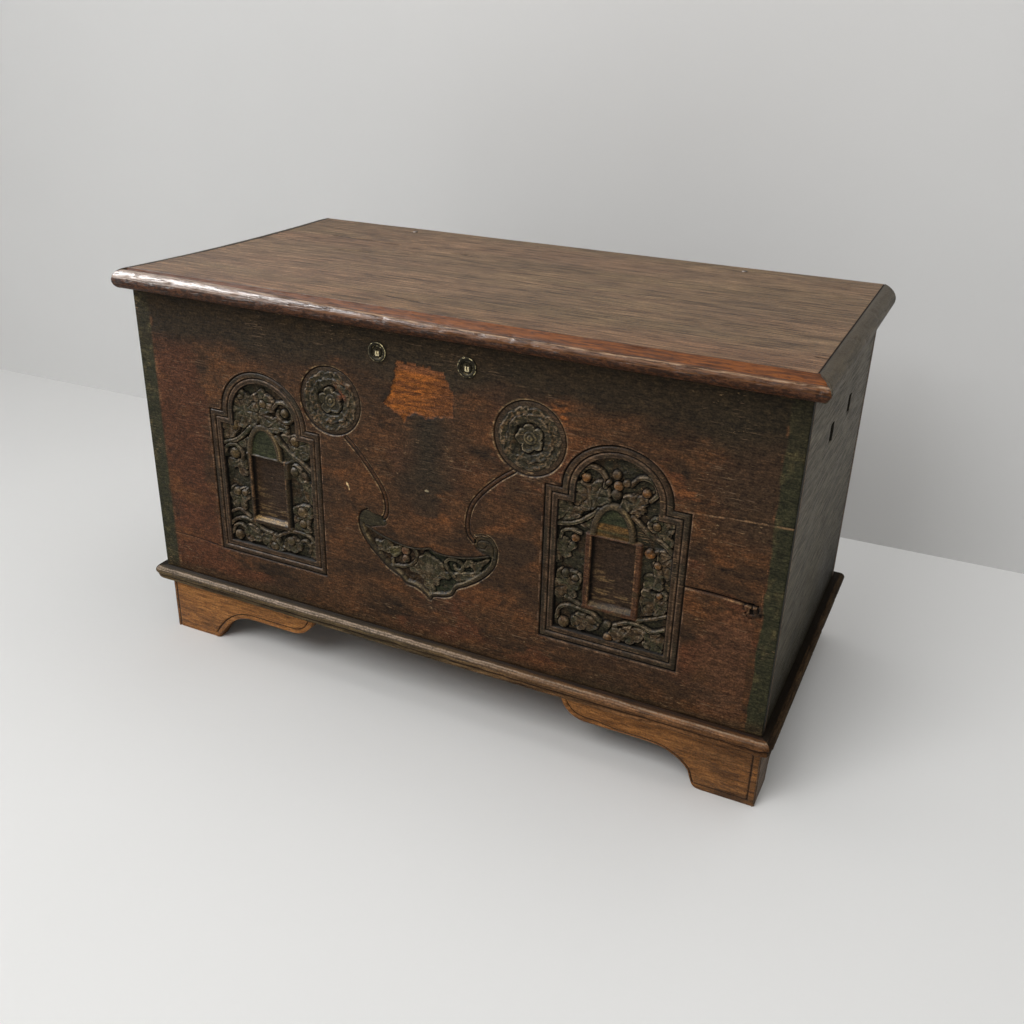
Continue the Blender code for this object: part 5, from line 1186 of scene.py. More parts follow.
SAG = 0.0045                # hollow of the lid's left end
LID_CRACKS = (((-402, 383), (-262, 366), 2.4, 2.0), ((-335, 286), (-271, 291), 1.3, 1.0), ((-222, 322), (-200, 322), 1.6, 1.2),
              ((-152, 349), (-123, 349), 1.6, 1.2), ((-87, 50), (-33, 44), 1.7, 1.4), ((484, 61), (497, 61), 1.5, 1.2))


def lid_sag(x, y):
    """How far the lid's upper face has sunk: a parabola from front to back, growing towards the left end."""
    depth = LID_HIGH.y - LID_LOW.y
    t = (y - LID_LOW.y) / depth
    return SAG * 4 * np.clip(t * (1 - t), 0, 1) * (1 - ramp(x, -HALF_WIDTH - 0.02, -0.1))


def make_lid_board(finish):
    """The lid board: a slightly hollow, wavy upper face with cracks, edges eased, a flat underside."""
    xs = lines((-HALF_WIDTH, -HALF_WIDTH + 0.004, 0.001), (-HALF_WIDTH + 0.004, HALF_WIDTH - 0.004, 0.005),
               (HALF_WIDTH - 0.004, HALF_WIDTH, 0.001))
    low, high = LID_LOW.y, LID_HIGH.y
    marks = low + 0.034, low + 0.068, low + 0.278, low + 0.394
    ys = lines((low, low + 0.004, 0.001), (low + 0.004, marks[0], 0.004), (marks[0], marks[1], 0.0014),
               (marks[1], marks[2], 0.005), (marks[2], marks[3], 0.0016), (marks[3], high - 0.004, 0.005),
               (high - 0.004, high, 0.001))
    x, y = np.meshgrid(xs, ys)
    u = x / MM
    v = (y - low) / MM
    rise = 0.9 * (cloud(u / 260, v / 90, 83, 3) - 0.5) + 0.35 * (cloud(u / 60, v / 9, 85, 3) - 0.5)
    rise -= 0.25
    hollow = np.zeros(x.shape)
    # The hollow share: painted shade in the cracks, and dark joint lines along the edges and ends.
    for (au, av), (bu, bv), half, deep in LID_CRACKS:
        d = away(u, v, scroll([(au, av), ((au + bu) / 2, (av + bv) / 2 + 1.0), (bu, bv)], 8))
        rise -= deep * hump(d, 0, half + 0.3)
        hollow += hump(d, 0, half + 0.2)
    rim = np.minimum(HALF_WIDTH - np.abs(x), np.minimum(y - low, high - y)) / MM
    rise -= 1.0 * (1 - ramp(rim, 0, 2.0))
    hollow += 0.5 * (1 - ramp(rim, 0.3, 1.6)) + (1 - ramp((HALF_WIDTH - np.abs(x)) / MM, 0.8, 2.6))
    front = np.stack([x, y, LID_HIGH.z + rise * MM - lid_sag(x, y)], -1)
    back = np.stack([x, y, np.full(x.shape, LID_LOW.z)], -1)
    board = slab("lid_top", front, back, None, {"hollow": np.clip(hollow, 0, 1)})
    dress(board, finish, "lid")
    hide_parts("lid_board")


def curve(centre, radii, start, end, steps):
    """Points on an elliptic arc, angles in degrees."""
    t = np.radians(np.linspace(start, end, steps))
    return [(centre[0] + radii[0] * math.cos(a), centre[1] + radii[1] * math.sin(a)) for a in t]


def lid_section(narrow):
    """Section of the lid's front edge, millimetres: a ridge, a sloping band, a quirk, a round nose and a soffit.

    Where it is narrow the band is worn to a line and the nose takes its place."""
    top = [(0.3, 29.4), (1.2, 29.9), (2.1, 29.5)]
    if narrow:
        band = [(2.4, 28.6), (2.7, 28.1), (3.0, 27.8), (3.4, 27.5), (3.7, 27.2), (4.0, 26.7)]
        nose = curve((8.0, 13.0), (13.0, 14.0), 103, -40, 26)
    else:
        band = [(2.6, 28.6), (4.6, 27.4), (7.2, 26.4), (10.0, 25.2), (12.4, 23.4), (13.6, 21.6)]
        nose = curve((10.4, 12.0), (10.6, 9.6), 66, -40, 26)
    a, b = np.asarray(nose[-1]), np.asarray((15.4, 0.6))
    t = np.linspace(0, 1, 8)[1:, None]
    soffit = (1 - t) ** 2 * a + 2 * t * (1 - t) * b + t ** 2 * np.asarray((9.0, 0.0))
    return np.concatenate([np.asarray(top + band + nose), soffit, [(0.3, 0.0)]])


def base_section(inner, upright=False):
    """Section of the base, millimetres: a flat top, a round nose, a small step, a fascia and a rebate.

    The fascia slopes in underneath, or stands nearly upright; the feet reach up into the rebate."""
    nose = curve((9.8, 22.9), (8.1, 6.9), 98, -48, 18)
    fascia = [(14.3, 17.0), (14.4, 16.4), (14.4, 14.0), (13.2, 10.2), (9.6, 7.4), (0.0, 6.0), (-6.5, 5.8), (-6.5, 0.0)]
    if upright:
        fascia = [(14.3, 17.0), (14.5, 16.4), (14.8, 14.0), (14.6, 9.4), (12.2, 7.0), (0.0, 6.0), (-6.5, 5.8), (-6.5, 0.0)]
    return np.asarray([(-inner, 29.9), (-2.0, 29.9), (4.0, 29.9)] + nose + fascia + [(-inner, 0.0)])


def wearing(seed, dents, sag):
    """Wear of a moulding: long waves and small dents that press its section in, and the lid's sag."""
    def wear(run, o, h):
        s, across, up = run / MM, o / MM, h / MM
        long_wave = 0.8 * (cloud(s / 160, across / 40 + seed, seed) - 0.5)
        dent = np.clip(cloud(s / 14, up / 9 + seed, seed + 5, 3) - 0.56, 0, 1) * dents
        press = np.where(across > 3.0, np.minimum(long_wave - dent - 0.3, 0), 0)
        drop = sag(run) * np.clip(up / 30, 0, 1) ** 2 if sag else 0
        return o + press * MM, h - drop
    return wear


CORNER = {"lid": 0.004, "chest": 0.014}     # how far the mouldings' front corners are rounded


def moulding(name, sections, start, direction, outward, length, mitres, rear, wear, shares, finish, body, node):
    """One moulding in the place of its solid, with the shares of its nose, band and joint on its points."""
    piece = sweep(name, [section * MM for section in sections], np.asarray(start, float),
                  np.asarray(direction, float), np.asarray(outward, float), length, mitres, CORNER[body], rear, wear,
                  shares)
    dress(piece, finish, body)
    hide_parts(node)


def make_mouldings(stem, front, ends, bottom, rear_y, rear, shares, finishes, body, sag=None):
    """A front and two side mouldings, mitred at the front corners; ends are the left and right sections."""
    depth = rear_y - FACE_Y
    left, right = ((section, section) for section in ends)
    moulding(stem + "_front_worn", front, (-HALF_WIDTH, FACE_Y, bottom), (1, 0, 0), (0, -1, 0), 2 * HALF_WIDTH,
             (1, 1), 0, wearing(101, 5.0, None), shares[0], finishes[0], body, stem + "_front")
    moulding(stem + "_right_worn", right, (HALF_WIDTH, FACE_Y, bottom), (0, 1, 0), (1, 0, 0), depth,
             (1, 0), rear, wearing(131, 3.0, None), shares[1], finishes[1], body, stem + "_right")
    moulding(stem + "_left_worn", left, (-HALF_WIDTH, FACE_Y, bottom), (0, 1, 0), (-1, 0, 0), depth,
             (1, 0), rear, wearing(161, 3.0, sag), shares[1], finishes[1], body, stem + "_left")


SLOT_Y = (-0.0613, 0.0717)
SLOT_Z = BOARD_HEIGHT - 0.103
SLOT_HALF = (0.0085, 0.0125)


def make_end(side, finish):
    """An end board: a faintly wavy face with two worn slots, edges eased."""
    word = "left" if side < 0 else "right"
    low, high = END_LOW.y, END_HIGH.y
    near = [(y - SLOT_HALF[0], y + SLOT_HALF[0]) for y in SLOT_Y]
    ys = lines((low, low + 0.004, 0.001), (low + 0.004, near[0][0] - 0.006, 0.006),
               (near[0][0] - 0.006, near[0][0], 0.001), (*near[0], 0.005), (near[0][1], near[0][1] + 0.006, 0.001),
               (near[0][1] + 0.006, near[1][0] - 0.006, 0.006), (near[1][0] - 0.006, near[1][0], 0.001),
               (*near[1], 0.005), (near[1][1], near[1][1] + 0.006, 0.001),
               (near[1][1] + 0.006, high - 0.004, 0.006), (high - 0.004, high, 0.001))
    hole = SLOT_Z - SLOT_HALF[1], SLOT_Z + SLOT_HALF[1]
    zs = lines((0, 0.004, 0.001), (0.004, hole[0] - 0.006, 0.006), (hole[0] - 0.006, hole[0], 0.001),
               (*hole, 0.004), (hole[1], hole[1] + 0.006, 0.001), (hole[1] + 0.006, BOARD_HEIGHT - 0.004, 0.006),
               (BOARD_HEIGHT - 0.004, BOARD_HEIGHT, 0.001))
    if side < 0:
        ys = ys[::-1]
    y, z = np.meshgrid(ys, zs)
    my, mz = np.meshgrid(middles(ys), middles(zs))
    cells = np.ones(my.shape, bool)
    rise = 0.8 * (cloud(y / 0.11, z / 0.20, 171 + side, 3) - 0.5) - 0.4
    hollow = np.zeros(y.shape)
    for left, right in near:
        cells &= ~((my > left) & (my < right) & (mz > hole[0]) & (mz < hole[1]))
        gap = np.hypot(np.maximum(np.maximum(left - y, y - right), 0),
                       np.maximum(np.maximum(hole[0] - z, z - hole[1]), 0)) / MM
        rise -= 1.6 * (1 - ramp(gap, 0, 4.0))
        # Painted shade in and round each slot.
        aside = np.maximum(np.maximum(left - y, y - right), 0) / MM
        beyond = np.maximum(np.maximum(hole[0] - z, z - hole[1]), 0) / MM
        ragged = 6 * (cloud(y / 0.006, z / 0.007, 177, 3) - 0.5)
        hollow += 0.97 * (1 - ramp(aside + ragged, 2.6, 5.4)) * (1 - ramp(beyond, 0.2, 1.6))
    rim = np.minimum(np.minimum(y - low, high - y), np.minimum(z, BOARD_HEIGHT - z)) / MM
    rise -= 0.7 * (1 - ramp(rim, 0, 2.2))
    hollow += 0.8 * (1 - ramp(rim + 2 * (cloud(y / 0.02, z / 0.02, 179, 3) - 0.5), 0.6, 2.2))
    x = side * (HALF_WIDTH + rise * MM)
    back = np.full(y.shape, side * END_LOW.x)
    piece = slab(word + "_end_worn", np.stack([x, y, z + BOARD_LOW], -1),
                 np.stack([back, y, z + BOARD_LOW], -1), cells, {"hollow": np.clip(hollow, 0, 1)})
    dress(piece, finish, "chest")
    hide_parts(word + "_end_board")


# Feet

FOOT_TOP = 93.6
WING_UNDER = 54.0
FOOT_THICK = 22.0
FRONT_FOOT = (88.0, 72.0, 83.0, 40.0)
RIGHT_FOOT_OUT = 7.0        # how far the right front foot stands out past its fellow's place
LEFT_TOE = ((0, 0), (6, 10.5), (13, 20), (26, 34.5), (42, 46), (57, 51.8))
RIGHT_TOE = ((-8, 0), (-1, 3.5), (4, 13), (9, 27), (20, 38), (33, 46), (48, 51.6))
SIDE_FOOT = (65.0, 55.0, 25.0, 25.0)


def foot_underside(pad, cove, wing, tip, steps, toe=None):
    """Lower edge of a bracket: a pad, a cove, a straight wing and a quarter-ellipse tip.

    The cove is a quarter ellipse, or a smooth curve through the toe's points from the pad's end."""
    hollow = curve((pad + cove, 0), (cove, WING_UNDER), 180, 90, steps[1])[:-1]
    if toe:
        path = scroll([(pad + a, h) for a, h in toe] + [(pad + cove, WING_UNDER)], 12)
        run = np.concatenate(([0], np.cumsum(np.hypot(*np.diff(path, axis=0).T))))
        at = np.linspace(0, run[-1], steps[1])[:-1]
        hollow = list(zip(np.interp(at, run, path[:, 0]), np.interp(at, run, path[:, 1])))
    flat = [(a, 0.0) for a in np.linspace(0, hollow[0][0], steps[0], endpoint=False)]
    straight = [(a, WING_UNDER) for a in np.linspace(pad + cove, pad + cove + wing, steps[2], endpoint=False)]
    end = curve((pad + cove + wing, FOOT_TOP), (tip, FOOT_TOP - WING_UNDER), 270, 357, steps[3])
    return np.asarray(flat + hollow + straight + end)


def make_foot_board(name, sizes, corner, along_way, outward, fine, seed, finish, node):
    """A bracket: columns from its lower edge to its top, with a cut line along the edge and eased corners."""
    steps = (66, 50, 44, 28) if fine else (26, 24, 10, 14)
    rows = 88 if fine else 36
    under = foot_underside(*sizes, steps, {1: LEFT_TOE, 2: RIGHT_TOE}.get(seed))
    t = np.linspace(0, 1, rows)[:, None]
    a = np.broadcast_to(under[:, 0][None, :], (rows, len(under)))
    h = under[:, 1][None, :] + t * (FOOT_TOP - under[:, 1][None, :])
    edge = away(a, h, under[steps[0] - 1:])
    inset = 3.0 + 5.0 * ramp(a, 190, 240) if seed == 2 else 8.0
    cut = hump(edge, inset, 1.0 + 0.5 * (seed == 1) * (1 - ramp(a, 90, 130))) * ramp(h, 7.0, 10.0)
    rise = -1.9 * cut
    rise -= 1.6 * (1 - np.sqrt(np.clip(1 - (1 - np.clip(np.minimum(edge, FOOT_TOP - h + 4) / 2.2, 0, 1)) ** 2, 0, 1)))
    rise -= 1.2 * (1 - ramp(h + (a > sizes[0]) * 9, 0, 2.0))
    rise -= 1.4 * (1 - ramp(a, 0, 2.6))
    lines_cut = 0.95 * cut
    if seed == 1:
        rise -= 1.2 * hump(a, 6.0, 1.4)
        lines_cut += 0.9 * hump(a, 6.0, 1.8) + 0.4 * (1 - ramp(a, 1, 4))
    if seed == 2:
        rise -= 1.6 * hump(a, 11.0, 1.4) * (h > 8)
        rise -= 1.2 * hump(h, 9.0, 0.9) * (a < sizes[0] - 4) * (a > 10)
        lines_cut += 0.95 * hump(a, 11.0, 1.5) * (h > 8) + 0.7 * hump(a, 0.5, 1.6)
        lines_cut += 0.8 * hump(h, 9.0, 1.1) * (a < sizes[0] - 4) * (a > 10)
    rise += 0.5 * (cloud(a / 40, h / 22, 200 + seed) - 0.5) - 0.25
    # Painted shade in the cut lines and just under the base.
    hollow = np.clip(lines_cut + 0.5 * (1 - ramp(FOOT_TOP - h, 0.5, 4)), 0, 1)
    inner_a = np.where(a < sizes[0], FOOT_THICK + a * (1 - FOOT_THICK / sizes[0]), a)
    corner = np.asarray(corner, float)
    along_way = np.asarray(along_way, float)
    outward = np.asarray(outward, float)
    up = np.array((0, 0, 1.0))
    front = corner + (a * MM)[..., None] * along_way + (rise * MM)[..., None] * outward + (h * MM)[..., None] * up
    back = corner + (inner_a * MM)[..., None] * along_way - FOOT_THICK * MM * outward + (h * MM)[..., None] * up
    # The inside faces carry painted shade.
    piece = slab(name, front, back, None, {"hollow": hollow}, None, {"hollow": 0.8})
    dress(piece, finish, "chest")
    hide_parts(node)


def make_feet(finish, end_finish):
    """Four bracket feet in the places of their solids, the two front faces in fine detail."""
    setback = 0.004
    for row, facing, face_y in (("front", -1, FACE_Y + setback), ("rear", 1, BACK_HIGH.y - setback)):
        for side, word in ((-1, "left"), (1, "right")):
            spread = RIGHT_FOOT_OUT if (row, word) == ("front", "right") else 0
            corner = (side * (HALF_WIDTH - setback + spread * MM), face_y, 0)
            stem = "foot_" + row + "_" + word
            sizes = FRONT_FOOT if row == "front" else SIDE_FOOT
            sizes = (sizes[0], sizes[1], sizes[2] + spread, sizes[3])
            seed = {("front", "left"): 1, ("front", "right"): 2}.get((row, word), 3)
            make_foot_board(stem + "_face_worn", sizes, corner, (-side, 0, 0), (0, facing, 0), row == "front", seed,
                            finish, stem + "_face")
            make_foot_board(stem + "_return_worn", SIDE_FOOT, corner, (0, -facing, 0), (side, 0, 0), False, 4,
                            end_finish, stem + "_return")


def make_locks(brass):
    """The lock barrels: turned brass rings with a rolled rim, rubbed bright along two lines."""
    for word, x in zip(("left", "right"), LOCK_X):
        low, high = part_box("lock_barrel_" + word)
        bore = 6.55
        rim = curve((11.6, 0.1), (2.9, 1.9), 0, 180, 15)
        points = [(14.5, 0.0)] + rim + [(bore + 1.0, 0.9), (bore, 0.2), (bore, -25.7), (9.5, -25.7), (9.5, 0.0)]
        profile = np.asarray(points) * MM
        rubbed = np.zeros(len(points))
        rubbed[5:7] = 1.0
        rubbed[14:16] = 1.0
        profile[:, 1] = -profile[:, 1]
        ring = lathe("lock_ring_" + word, profile, (x, low.y + 0.0018, LOCK_Z + BOARD_LOW), {"rubbed": rubbed})
        dress(ring, brass, "chest")
        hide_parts("lock_barrel_" + word)


def make_clenches(iron):
    """The hinge nails: the rear ones end in low clenched domes on the lid, the others stop under its face."""
    for word in ("left", "right"):
        for number, radii, reach in ((1, (5.2, 3.6), 0.0006), (2, (2.0, 2.0), -0.004)):
            node = f"hinge_strap_nail_{word}_{number}"
            low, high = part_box(node)
            x, y = (low.x + high.x) / 2, (low.y + high.y) / 2
            turn = np.linspace(0, 2 * math.pi, 24, endpoint=False)[:, None]
            angle = np.radians(np.array((0, 25, 50, 75)))[None, :]
            shrink = np.concatenate([np.full((1, 2), 2.0), np.stack([radii[0] * np.cos(angle[0]),
                                                                    radii[1] * np.cos(angle[0])], 1)])
            z = LID_HIGH.z + reach + np.concatenate([[-0.006], 1.3 * MM * np.sin(angle[0]) - 0.0008])
            grid = np.stack([x + MM * shrink[:, 0] * np.cos(turn), y + MM * shrink[:, 1] * np.sin(turn),
                             z + 0 * turn], -1)
            size = grid.shape[1]
            index = np.arange(24 * size).reshape(24, size)
            ahead = np.roll(index, -1, 0)
            quads = np.stack([index[:, :-1], ahead[:, :-1], ahead[:, 1:], index[:, 1:]], -1).reshape(-1, 4)
            nail = put_mesh(f"lid_nail_{word}_{number}", grid.reshape(-1, 3), quads, [index[::-1, 0], index[:, -1]])
            dress(nail, iron, "lid")
            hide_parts(node)


# Stage

def make_camera():
    """A camera at the eye, turned by azimuth, elevation and roll."""
    turn, tilt, roll = (math.radians(a) for a in (TURN, TILT, ROLL))
    back = Vector((math.sin(turn) * math.cos(tilt), -math.cos(turn) * math.cos(tilt), math.sin(tilt)))
    right = Vector((math.cos(turn), math.sin(turn), 0))
    up = back.cross(right)
    right, up = (math.cos(roll) * right + math.sin(roll) * up, math.cos(roll) * up - math.sin(roll) * right)
    data = bpy.data.cameras.new("camera")
    data.sensor_width = SENSOR
    data.lens = FOCAL_PIXELS / PICTURE * SENSOR
    camera = bpy.data.objects.new("camera", data)
    camera.matrix_world = Matrix.Translation(EYE) @ Matrix((right, up, back)).transposed().to_4x4()
    bpy.context.scene.collection.objects.link(camera)
    bpy.context.scene.camera = camera


def make_lamp(name, place, target, size, power, colour=(1, 1, 1)):
    """A soft square lamp aimed at a point."""
    data = bpy.data.lights.new(name, "AREA")
    data.size = size
    data.energy = power
    data.color = colour
    lamp = bpy.data.objects.new(name, data)
    lamp.location = place
    lamp.rotation_euler = (Vector(target) - Vector(place)).to_track_quat("-Z", "Y").to_euler()
    bpy.context.scene.collection.objects.link(lamp)
    return lamp


def make_sheet(name, corners, colours, fade):
    """A plain pale sheet for the stage: one flat grid of quads with a faint cloudy finish."""
    low, right, up = (np.asarray(c, float) for c in corners)
    t, s = np.meshgrid(np.linspace(0, 1, 5), np.linspace(0, 1, 5))
    points = low + t[..., None] * right + s[..., None] * up
    index = np.arange(25).reshape(5, 5)
    quads = np.stack([index[:-1, :-1], index[:-1, 1:], index[1:, 1:], index[1:, :-1]], -1).reshape(-1, 4)
    mesh = bpy.data.meshes.new(name)
    mesh.from_pydata(points.reshape(-1, 3).tolist(), [], quads.tolist())
    sheet = bpy.data.objects.new(name, mesh)
    bpy.context.scene.collection.objects.link(sheet)
    f = Finish("pale_" + name)
    soft = f.noise((2, 2, 2), 4, 0.5)
    f.done(f.mix(soft, *colours), 0.8, f.noise((70, 70, 70), 3, 0.5), 0.0006, 0.25, 0.1)
    if fade:
        behind = f.make("ShaderNodeNewGeometry").outputs["Backfacing"]
        clear = f.make("ShaderNodeBsdfTransparent").outputs[0]
        join = f.make("ShaderNodeMixShader")
        f.put(join.inputs[0], behind)
        f.put(join.inputs[1], f.shader.outputs[0])
        f.put(join.inputs[2], clear)
        f.put(f.tree.nodes["Material Output"].inputs["Surface"], join.outputs[0])
        sheet.visible_diffuse = sheet.visible_glossy = sheet.visible_shadow = False
        sheet.visible_transmission = False
    mesh.materials.append(f.material)


def make_stage():
    """A pale floor and a pale wall behind, soft lamps and an even pale surround.

    The wall is only seen, from its front: it neither throws shadows nor hides the part from behind."""
    make_sheet("floor", ((-9, -9, -0.0002), (18, 0, 0), (0, 18, 0)),
               ((0.77, 0.77, 0.762), (0.80, 0.80, 0.792)), False)
    make_sheet("wall", ((-9, 0.40, 0), (18, 0.50, 0), (0, 0, 5)),
               ((0.69, 0.69, 0.685), (0.74, 0.74, 0.735)), True)
    make_lamp("key", (-0.5, -2.4, 2.9), (0, 0, 0.3), 1.8, 65)
    make_lamp("overhead", (0.5, 0.2, 3.2), (0.1, 0, 0.3), 2.4, 26)
    sheen = make_lamp("sheen", (-1.6, -0.65, 1.8), (-0.4, -0.26, 0.6), 0.8, 290)
    sheen.visible_diffuse = False
    world = bpy.data.worlds.new("surround")
    bpy.context.scene.world = world
    world.use_nodes = True
    nodes = world.node_tree.nodes
    links = world.node_tree.links
    nodes.clear()
    out = nodes.new("ShaderNodeOutputWorld")
    light = nodes.new("ShaderNodeBackground")
    light.inputs["Color"].default_value = (1.0, 0.985, 0.96, 1)
    light.inputs["Strength"].default_value = 0.38
    seen = nodes.new("ShaderNodeBackground")
    seen.inputs["Color"].default_value = (0.56, 0.56, 0.55, 1)
    path = nodes.new("ShaderNodeLightPath")
    bent = nodes.new("ShaderNodeMath")
    bent.operation = "MAXIMUM"
    links.new(path.outputs["Is Glossy Ray"], bent.inputs[0])
    links.new(path.outputs["Is Transmission Ray"], bent.inputs[1])
    direct = nodes.new("ShaderNodeMath")
    direct.operation = "MAXIMUM"
    links.new(path.outputs["Is Camera Ray"], direct.inputs[0])
    links.new(bent.outputs[0], direct.inputs[1])
    join = nodes.new("ShaderNodeMixShader")
    links.new(direct.outputs[0], join.inputs[0])
    links.new(light.outputs[0], join.inputs[1])
    links.new(seen.outputs[0], join.inputs[2])
    links.new(join.outputs[0], out.inputs["Surface"])


def hollow_shade_and_joints(f, colour, roughness):
    """Painted shade where the piece's own hollow share is high: in cracks, slots, cut lines, under the base and on
    inside faces; also dark joint lines along edges.
    """
    share = f.own("hollow").outputs["Fac"]
    dark = f.mix(f.span(share, 0.05, 0.95, 0.0, 0.93), colour, linear(20, 17, 14))
    return dark, f.math("MAXIMUM", roughness, f.math("MULTIPLY", share, 0.9))


def lid_tint(f, colour):
    """Redder towards the front edge, with broad olive and pinkish bands."""
    place = f.axis("Y")
    broad = f.noise((1.6, 9, 9), 4, 0.6, 0.4, (3.9, 0.2, 1.4))
    colour = f.mix(0.8, colour, f.steps(broad, (0.36, (0.90, 0.95, 0.88)), (0.50, (0.98, 0.97, 0.96)),
                                        (0.64, (1.10, 1.00, 1.00))), "MULTIPLY")
    return f.mix(f.span(place, FACE_Y, FACE_Y + 0.12, 0.5, 0.0), colour, (1.08, 0.90, 0.80), "MULTIPLY")


def foot_tint(f, colour):
    """Browner on the right, dirtier towards the floor, with dark pores."""
    pores = f.noise((420, 420, 520), 2, 0.6, 0.0, (5.5, 1.1, 2.7))
    colour = f.mix(f.span(pores, 0.56, 0.66, 0.0, 0.7), colour, (0.30, 0.26, 0.22), "MULTIPLY")
    blot = f.noise((16, 16, 30), 4, 0.62, 0.4, (0.7, 3.1, 1.9))
    low = f.math("MULTIPLY", f.span(f.axis("Z"), 0.0, 0.05, 0.9, 0.25), f.span(blot, 0.42, 0.62))
    colour = f.mix(low, colour, (0.56, 0.58, 0.66), "MULTIPLY")
    smear = f.noise((14, 14, 60), 4, 0.62, 0.5, (2.3, 0.9, 4.1))
    pad = f.math("MULTIPLY", f.span(f.axis("X"), 0.33, 0.45, 0.0, 0.9), f.span(smear, 0.34, 0.60, 0.4, 1.0))
    return f.mix(pad, colour, (0.50, 0.54, 0.66), "MULTIPLY")


def case_low_shade_and_tint(f, colour):
    """Darker and browner towards the floor, most in a hand's breadth above the base: partly painted shade, partly
    darker paint.
    """
    colour = f.mix(f.span(f.axis("Z"), BOARD_LOW, BOARD_LOW + 0.34, 0.9, 0.0), colour, (0.34, 0.32, 0.25), "MULTIPLY")
    return f.mix(f.span(f.axis("Z"), BOARD_LOW + 0.005, BOARD_LOW + 0.13, 0.95, 0.0), colour, (0.20, 0.18, 0.12), "MULTIPLY")


def nose_wear_and_highlights(f, colour, roughness):
    """Lid edge: an orange band above, a rubbed glossy nose with long scratches and a painted highlight line along its
    top, paler towards the left as painted highlight and worn varnish, a dark speckled underside.
    """
    nose, band, join, under, ridge = (f.own(key).outputs["Fac"] for key in ("nose", "band", "join", "under", "ridge"))
    scratch = f.noise((26, 320, 320), 4, 0.70, 0.2)
    pits = f.noise((150, 200, 300), 4, 0.68)
    left = f.span(f.axis("X"), -0.45, 0.0, 1.0, 0.0)
    rubbed = f.mix(f.span(scratch, 0.36, 0.64), linear(54, 31, 15), linear(116, 76, 44))
    orange = f.mix(f.span(scratch, 0.36, 0.64), linear(70, 36, 10), linear(128, 70, 20))
    orange = f.mix(f.math("MULTIPLY", left, 0.6), orange, linear(84, 48, 26))
    lower = f.mix(f.span(pits, 0.44, 0.62), linear(38, 23, 14), linear(92, 57, 36))
    colour = f.mix(f.math("MULTIPLY", band, 0.95), colour, orange)
    colour = f.mix(f.math("MULTIPLY", nose, 0.9), colour, rubbed)
    # Painted highlight: a pale broken line along the nose's top.
    colour = f.mix(f.math("MULTIPLY", ridge, f.span(scratch, 0.42, 0.58, 0.05, 0.75)), colour, linear(182, 152, 122))
    # Painted highlight, partly worn varnish: the nose paler towards the left end.
    pale = f.math("MULTIPLY", f.math("MULTIPLY", nose, f.span(f.axis("X"), -0.46, -0.12, 0.9, 0.0)),
                  f.span(scratch, 0.34, 0.60, 0.25, 0.95))
    colour = f.mix(pale, colour, linear(176, 157, 144))
    colour = f.mix(f.math("MULTIPLY", under, 0.9), colour, lower)
    colour = f.mix(f.span(pits, 0.60, 0.70, 0.0, 0.6), colour, linear(32, 21, 15))
    colour = f.mix(f.math("MULTIPLY", join, 0.7), colour, linear(30, 19, 13))
    gloss = f.span(f.math("ADD", f.math("MULTIPLY", scratch, 0.5), f.math("MULTIPLY", pits, 0.5)), 0.38, 0.62, 0.24, 0.50)
    roughness = f.math("MAXIMUM", roughness, f.math("MULTIPLY", band, 0.78))
    shine = f.make("ShaderNodeMix", data_type="FLOAT")
    f.put(shine.inputs[0], nose)
    f.put(shine.inputs[2], roughness)
    f.put(shine.inputs[3], gloss)
    return colour, shine.outputs[0]


def end_dirt_and_ledge_shade(f, colour, roughness):
    """Edges of the ends: dark olive dirt on the upper rounding, dark along the joint, which on the base's ends also
    covers the top ledge as painted shade, rubbed paler lower down.
    """
    band, join = (f.own(key).outputs["Fac"] for key in ("band", "join"))
    patch = f.noise((60, 9, 60), 4, 0.66)
    colour = f.mix(f.math("MULTIPLY", band, f.span(patch, 0.30, 0.62, 1.0, 0.7)), colour, linear(60, 50, 36))
    colour = f.mix(f.math("MULTIPLY", join, 0.9), colour, linear(24, 20, 15))
    return colour, roughness


def base_wear_and_highlights(f, colour, roughness):
    """Base: a pale speckled band on the nose, rubbed wear and painted highlight, most of it towards the left, a painted
    highlight line along the nose, and dark along the joints and the top ledge.
    """
    nose, join, ridge = (f.own(key).outputs["Fac"] for key in ("nose", "join", "ridge"))
    grit = f.noise((300, 330, 330), 3, 0.7)
    patch = f.noise((22, 90, 90), 4, 0.66)
    mixed = f.math("ADD", f.math("MULTIPLY", grit, 0.6), f.math("MULTIPLY", patch, 0.4))
    share = f.span(f.axis("X"), -0.10, 0.30, 1.0, 0.28)
    worn = f.math("MULTIPLY", f.math("MULTIPLY", nose, share), f.span(mixed, 0.40, 0.58, 0.10, 1.0))
    colour = f.mix(f.span(f.axis("X"), -0.1, 0.4, 0.0, 1.0), colour, (1.55, 1.02, 0.80), "MULTIPLY")
    # Pale band on the nose: rubbed wear and painted highlight.
    colour = f.mix(worn, colour, linear(172, 148, 126))
    # Painted highlight line along the nose's top.
    colour = f.mix(f.math("MULTIPLY", ridge, f.span(mixed, 0.38, 0.56, 0.2, 0.9)), colour, linear(160, 138, 114))
    colour = f.mix(f.math("MULTIPLY", join, 0.85), colour, linear(28, 21, 16))
    return colour, roughness


